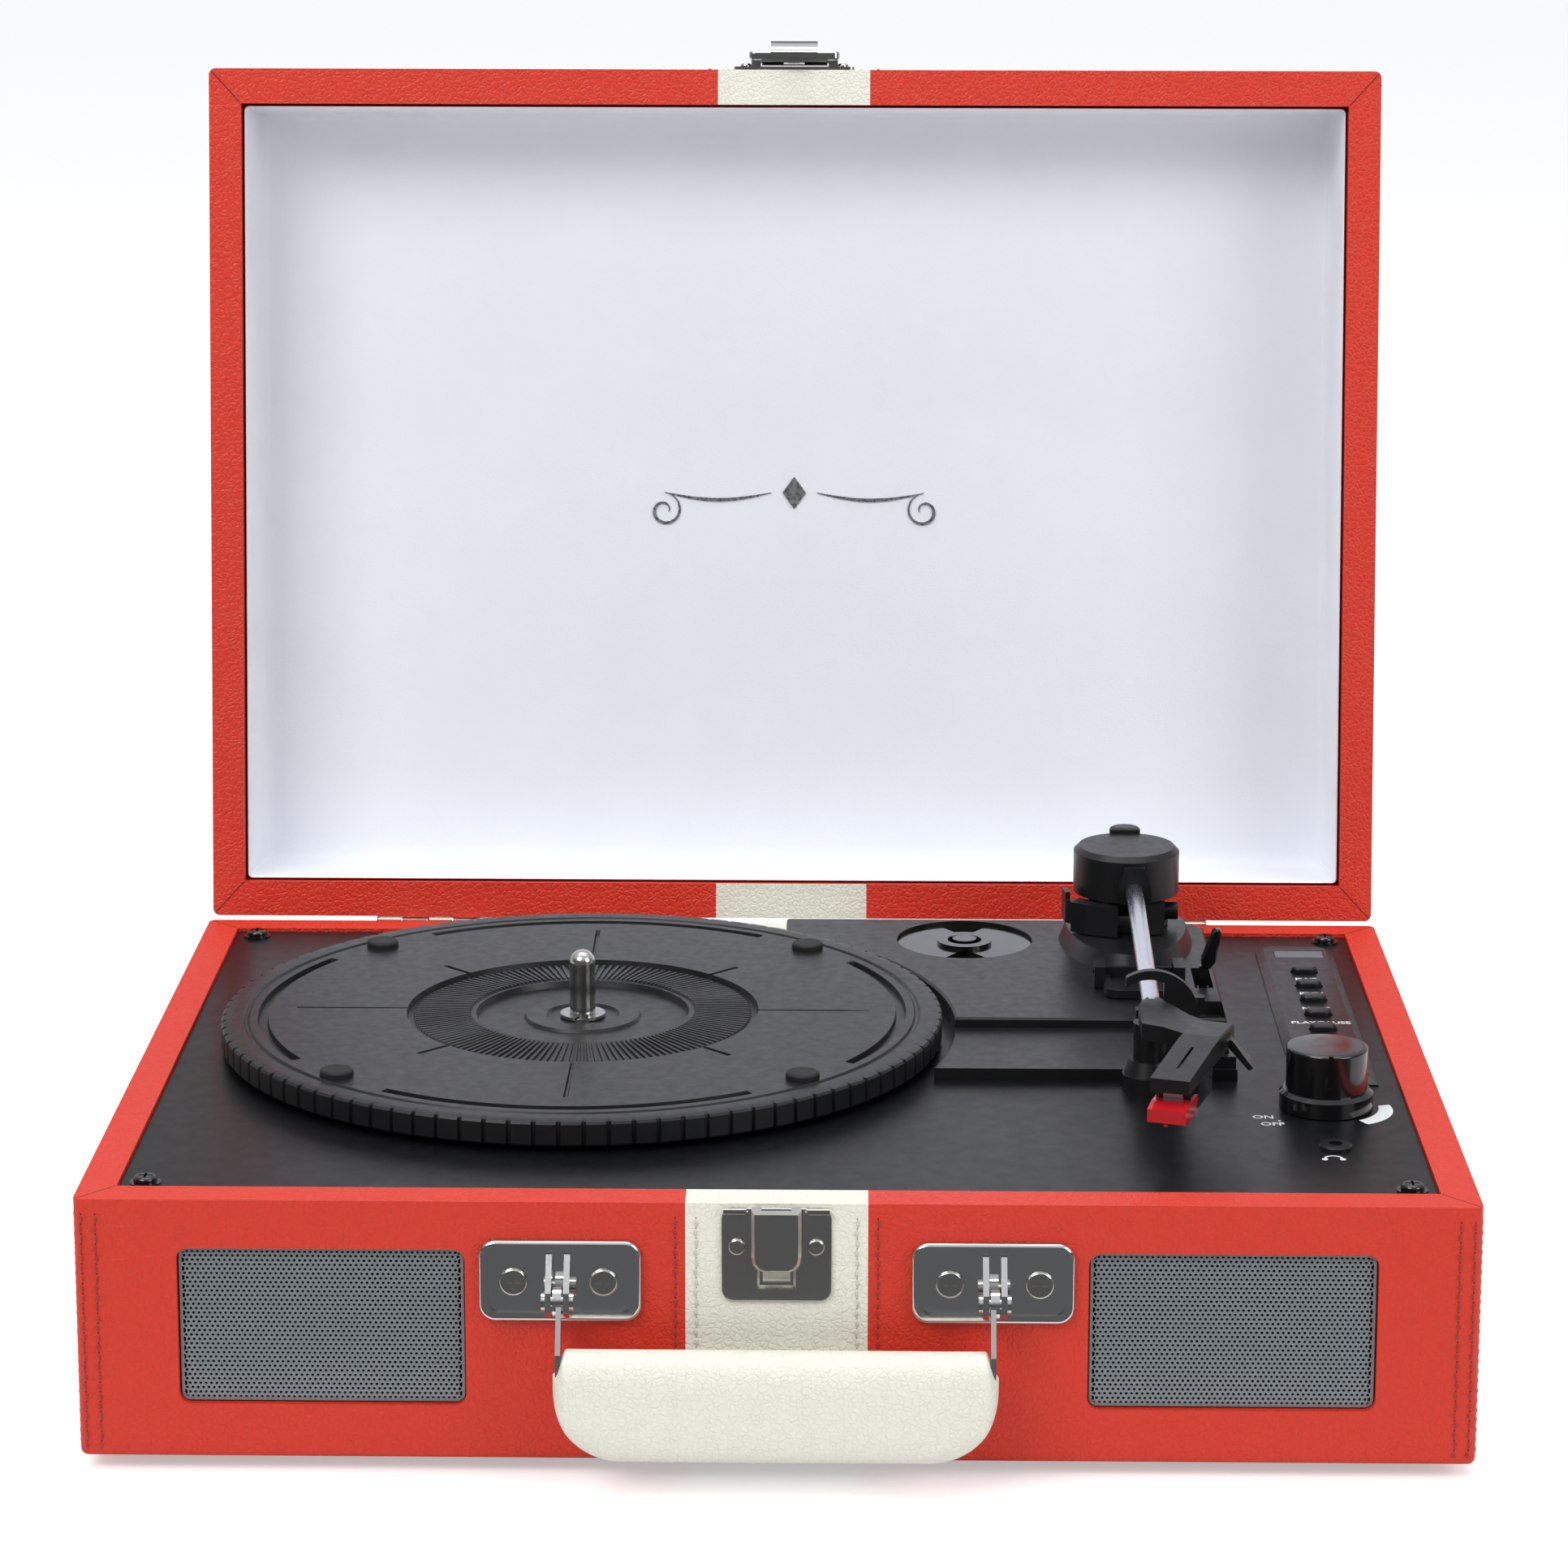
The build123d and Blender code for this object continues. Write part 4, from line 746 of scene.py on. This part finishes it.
def foil_strip(path, width, base):
    """A flat strip along a path of (x, y), tapering to both ends; base is its first point's number."""
    points = []
    for i, (x, y) in enumerate(path):
        before, after = path[max(0, i - 1)], path[min(len(path) - 1, i + 1)]
        way = Vector((after[0] - before[0], after[1] - before[1])).normalized()
        w = width * (FOIL_TIP + (1 - FOIL_TIP) * sin(pi * i / (len(path) - 1)))
        for sign in (-1, 1):
            points.append(in_lid(x - sign * way.y * w / 2, y + sign * way.x * w / 2, FOIL_Z))
    faces = []
    for i in range(len(path) - 1):
        k = base + 2 * i
        faces.append((k, k + 1, k + 3, k + 2))
    return points, faces


def lid_ornament():
    """A plain foil rule with a diamond and two curls, in place of lettering."""
    points, faces = [], []
    for sx in (-1, 1):
        rule = []
        for i in range(RULE_STEPS + 1):
            x = RULE_FROM + (RULE_TO - RULE_FROM) * i / RULE_STEPS
            rule.append((sx * x, FOIL_Y + RULE_RISE * sin(pi * i / RULE_STEPS)))
        curl = []
        for i in range(CURL_STEPS + 1):
            r = CURL_R - CURL_CLOSES * i / CURL_STEPS
            turn = CURL_HALF_TURNS * pi * i / CURL_STEPS
            curl.append((sx * (RULE_TO - r * sin(turn)), FOIL_Y + CURL_R - r * cos(turn)))
        for path, width in ((rule, RULE_W), (curl, CURL_W)):
            p, f = foil_strip(path, width, len(points))
            points += p
            faces += f
    base = len(points)
    for x, y in ((0, DIAMOND_HALF_Y), (DIAMOND_HALF_X, 0), (0, -DIAMOND_HALF_Y), (-DIAMOND_HALF_X, 0)):
        points.append(in_lid(x, FOIL_Y + y, FOIL_Z))
    faces.append((base, base + 1, base + 2, base + 3))
    add_piece("lid_foil_ornament", points, faces, "lid", SILVER_FOIL)


# ---- spun metal on the volume knob ----
# From its middle out and down into the knob, as radius and height above the knob's top.
SPUN_PROFILE = ((0.2, 0.10), (5.0, 0.10), (9.2, 0.10), (9.6, 0.02), (9.6, -0.2))
SPUN_STEPS = 96


def spun_metal():
    """Dark turned metal whose fine rings fan the light."""
    spun = Paint("spun_black", (0.16, 0.16, 0.16), rough=0.22, metal=1.0)
    rings = spun.node("ShaderNodeTexWave", wave_type="RINGS", rings_direction="Z")
    rings.inputs["Scale"].default_value = 900
    spun.link(spun.coords, rings.inputs["Vector"])
    spun.bump(rings.outputs["Fac"], distance=0.000004, strength=0.4)
    spun.vary_rough(rings.outputs["Fac"], spread=0.04)
    tangent = spun.node("ShaderNodeTangent", direction_type="RADIAL", axis="Z")
    spun.link(tangent.outputs["Tangent"], spun.bsdf.inputs["Tangent"])
    return spun.shader(Anisotropic=0.85).mat


def spun_knob():
    """A thin turned disc let into the knob's top."""
    low, high = case_box("volume_knob")
    points = []
    for r, z in SPUN_PROFILE:
        points += round_row((low + high) / 2, r, high.z + z, SPUN_STEPS)
    faces = grid_faces(len(SPUN_PROFILE), SPUN_STEPS)
    add_piece("volume_knob_spun_top", points, faces, "knob", spun_metal(), sharp=50)


# ---- printed marks ----
LABEL_LIFT, MARK_LIFT = 0.03, 0.04       # above the surface that carries them
INK_T, INK_SPREAD = 0.02, 0.05
SWITCH_WORD_SIZE, BUTTON_WORD_SIZE = 3.6, 3.1
SWITCH_WORDS = (("ON", 126.6, 73.8), ("OFF", 128.6, 68.0))
BUTTON_WORDS = (("PWR", 194.8), ("PREV", 180.4), ("NEXT", 165.9), ("PLAY/PAUSE", 152.2))
BUTTON_WORDS_X = 149.3
DOT = (130.6, 70.8, 0.4)                 # x, y, radius
SWEEP_OUTER, SWEEP_INNER = (147.2, 81.0, 14.2, -64, 16), (144.4, 83.0, 13.4, -58, 4)     # x, y, radius, arc
HEADPHONE_X, HEADPHONE_BAND_Y, HEADPHONE_CUP_Y = 141.8, 40.2, 39.7
HEADPHONE_BAND_RADII, HEADPHONE_BAND_ARC = (2.5, 1.9), (10, 170)
CUP_OUT, CUP_R = 2.3, 0.8
NEARLY_ROUND = (0, 345)                  # an arc that its first and last points close
ARC_STEPS = 24


def label(words, x, y, z, size):
    name = "label_" + words.lower().replace("/", "_")
    curve = bpy.data.curves.new(name, "FONT")
    curve.body = words
    curve.size = size * MM
    curve.align_x = "CENTER"
    curve.align_y = "CENTER"
    curve.extrude = INK_T * MM
    curve.offset = INK_SPREAD * MM
    curve.materials.append(PRINT_WHITE)
    piece = bpy.data.objects.new(name, curve)
    bpy.context.scene.collection.objects.link(piece)
    piece.location = at(x, y, z + LABEL_LIFT)
    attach(piece, "chassis")


def flat_mark(name, outline, z):
    """A printed shape: a closed outline of (x, y), a hair above its surface."""
    points = [at(x, y, z + MARK_LIFT) for x, y in outline]
    add_piece(name, points, [tuple(range(len(points)))], "chassis", PRINT_WHITE)


def arc(cx, cy, r, a0, a1):
    turns = [radians(a0 + (a1 - a0) * i / ARC_STEPS) for i in range(ARC_STEPS + 1)]
    return [(cx + r * cos(a), cy + r * sin(a)) for a in turns]


def printed_marks():
    deck_z = case_box("motor_board")[1].z
    strip_z = case_box("control_strip")[1].z
    for words, x, y in SWITCH_WORDS:
        label(words, x, y, deck_z, SWITCH_WORD_SIZE)
    flat_mark("mark_dot", arc(*DOT, *NEARLY_ROUND), deck_z)
    flat_mark("mark_volume", arc(*SWEEP_OUTER) + arc(*SWEEP_INNER)[::-1], deck_z)
    outer, inner = [arc(HEADPHONE_X, HEADPHONE_BAND_Y, r, *HEADPHONE_BAND_ARC) for r in HEADPHONE_BAND_RADII]
    flat_mark("mark_headphone_band", outer + inner[::-1], deck_z)
    for side, sx in SIDES:
        cup = arc(HEADPHONE_X + sx * CUP_OUT, HEADPHONE_CUP_Y, CUP_R, *NEARLY_ROUND)
        flat_mark(f"mark_headphone_{side}", cup, deck_z)
    for words, y in BUTTON_WORDS:
        label(words, BUTTON_WORDS_X, y, strip_z, BUTTON_WORD_SIZE)


# ---- floor, light and camera ----
FLOOR_SIZE, FLOOR_Y = 12, 2
FLOOR_LIFT = 0.42        # keeps the paper white out to the horizon
# A dark cloth on the floor in front, seen only in polished metal.
FLAG_FRONT, FLAG_DEPTH, FLAG_WIDTH, FLAG_Z = -0.20, 3.0, 4.0, 0.0006
# The surroundings: dim below one height, bright above another, and at least this bright behind.
WORLD_DARK_TOP, WORLD_LIGHT_FROM = 0.22, 0.75
WORLD_LOW, WORLD_HIGH, WORLD_BACK = 0.10, 0.75, 0.50
WORLD_BACK_FROM, WORLD_BACK_TO = -0.35, 0.5
AIM = (0, 0, 0.1)

CAMERA_CASE = (17.98, -1102.9, 384.35)
PITCH, YAW, ROLL = 12.19, -0.85, 0.08
LENS, SENSOR = 107.47, 36
SHIFT_Y = -0.10
CLIP_START = 0.05


def stage():
    bpy.ops.mesh.primitive_plane_add(size=FLOOR_SIZE, location=(0, FLOOR_Y, 0))
    floor = bpy.context.object
    floor.name = "studio_floor"
    paper = Paint("studio_paper", (0.86, 0.86, 0.86), rough=0.6)
    paper.vary_colour(paper.noise(3, detail=2), dark=0.99, light=1.0)
    seen = paper.node("ShaderNodeLightPath").outputs["Is Camera Ray"]
    paper.link(paper.ramp(seen, 0, 1, 0, FLOOR_LIFT), paper.bsdf.inputs["Emission Strength"])
    paper.bsdf.inputs["Emission Color"].default_value = (1, 1, 1, 1)
    floor.data.materials.append(paper.mat)
    bpy.ops.mesh.primitive_plane_add(size=1, location=(0, FLAG_FRONT - FLAG_DEPTH / 2, FLAG_Z))
    flag = bpy.context.object
    flag.name = "studio_flag"
    flag.scale = (FLAG_WIDTH, FLAG_DEPTH, 1)
    cloth = Paint("studio_flag_cloth", (0.055, 0.058, 0.060), rough=0.9)
    cloth.vary_colour(cloth.noise(3, detail=2), dark=0.9, light=1.1)
    flag.data.materials.append(cloth.mat)
    flag.visible_camera = False
    flag.visible_diffuse = False
    flag.visible_shadow = False
    bpy.context.scene.world = studio_world()


def studio_world():
    """Pale overhead, dim low down in front, so polished metal has something dark to mirror."""
    world = bpy.data.worlds.new("studio_world")
    world.use_nodes = True
    tree = world.node_tree

    def add(kind, **values):
        made = tree.nodes.new(kind)
        for key, value in values.items():
            setattr(made, key, value)
        return made

    def scaled(source, low, high, a, b):
        node = add("ShaderNodeMapRange", interpolation_type="SMOOTHSTEP")
        for key, value in (("From Min", low), ("From Max", high), ("To Min", a), ("To Max", b)):
            node.inputs[key].default_value = value
        tree.links.new(source, node.inputs["Value"])
        return node.outputs["Result"]

    def greater(a, b):
        node = add("ShaderNodeMath", operation="MAXIMUM")
        tree.links.new(a, node.inputs[0])
        tree.links.new(b, node.inputs[1])
        return node.outputs[0]

    way = add("ShaderNodeSeparateXYZ")
    tree.links.new(add("ShaderNodeTexCoord").outputs["Generated"], way.inputs[0])
    overhead = scaled(way.outputs["Z"], WORLD_DARK_TOP, WORLD_LIGHT_FROM, WORLD_LOW, WORLD_HIGH)
    behind = scaled(way.outputs["Y"], WORLD_BACK_FROM, WORLD_BACK_TO, 0.0, WORLD_BACK)
    seen = add("ShaderNodeLightPath").outputs["Is Camera Ray"]
    back = tree.nodes["Background"]
    back.inputs["Color"].default_value = (0.95, 0.97, 1.0, 1)
    tree.links.new(greater(greater(overhead, behind), seen), back.inputs["Strength"])
    return world


def area_light(name, place, size, power):
    """A softbox at a place in metres, turned to the player."""
    lamp = bpy.data.lights.new(name, "AREA")
    lamp.shape = "RECTANGLE"
    lamp.size, lamp.size_y = size
    lamp.energy = power
    holder = bpy.data.objects.new(name, lamp)
    bpy.context.scene.collection.objects.link(holder)
    holder.location = place
    way = Vector(AIM) - Vector(place)
    holder.rotation_euler = way.to_track_quat("-Z", "Y").to_euler()


def lights():
    area_light("key_softbox", place=(-0.9, -1.3, 1.5), size=(1.1, 0.9), power=19)
    area_light("fill_softbox", place=(1.3, -1.0, 0.9), size=(0.9, 0.9), power=9)
    area_light("top_softbox", place=(0.0, 0.1, 1.7), size=(1.4, 0.7), power=12)


def camera():
    data = bpy.data.cameras.new("camera")
    data.sensor_width = SENSOR
    data.lens = LENS
    data.shift_y = SHIFT_Y
    data.clip_start = CLIP_START
    holder = bpy.data.objects.new("camera", data)
    bpy.context.scene.collection.objects.link(holder)
    holder.location = at(*CAMERA_CASE)
    pitch, yaw = radians(PITCH), radians(YAW)
    way = Vector((sin(yaw) * cos(pitch), cos(yaw) * cos(pitch), -sin(pitch)))
    roll = Matrix.Rotation(radians(ROLL), 3, "Z").to_quaternion()
    holder.rotation_mode = "QUATERNION"
    holder.rotation_quaternion = way.to_track_quat("-Z", "Y") @ roll
    bpy.context.scene.camera = holder


camera()
stage()
lights()
base_stitching()
lid_stitching()
corner_seams()
grilles()
platter()
handle()
lining()
lid_ornament()
spun_knob()
printed_marks()

bpy.context.scene.view_settings.view_transform = "Standard"
bpy.context.view_layer.update()
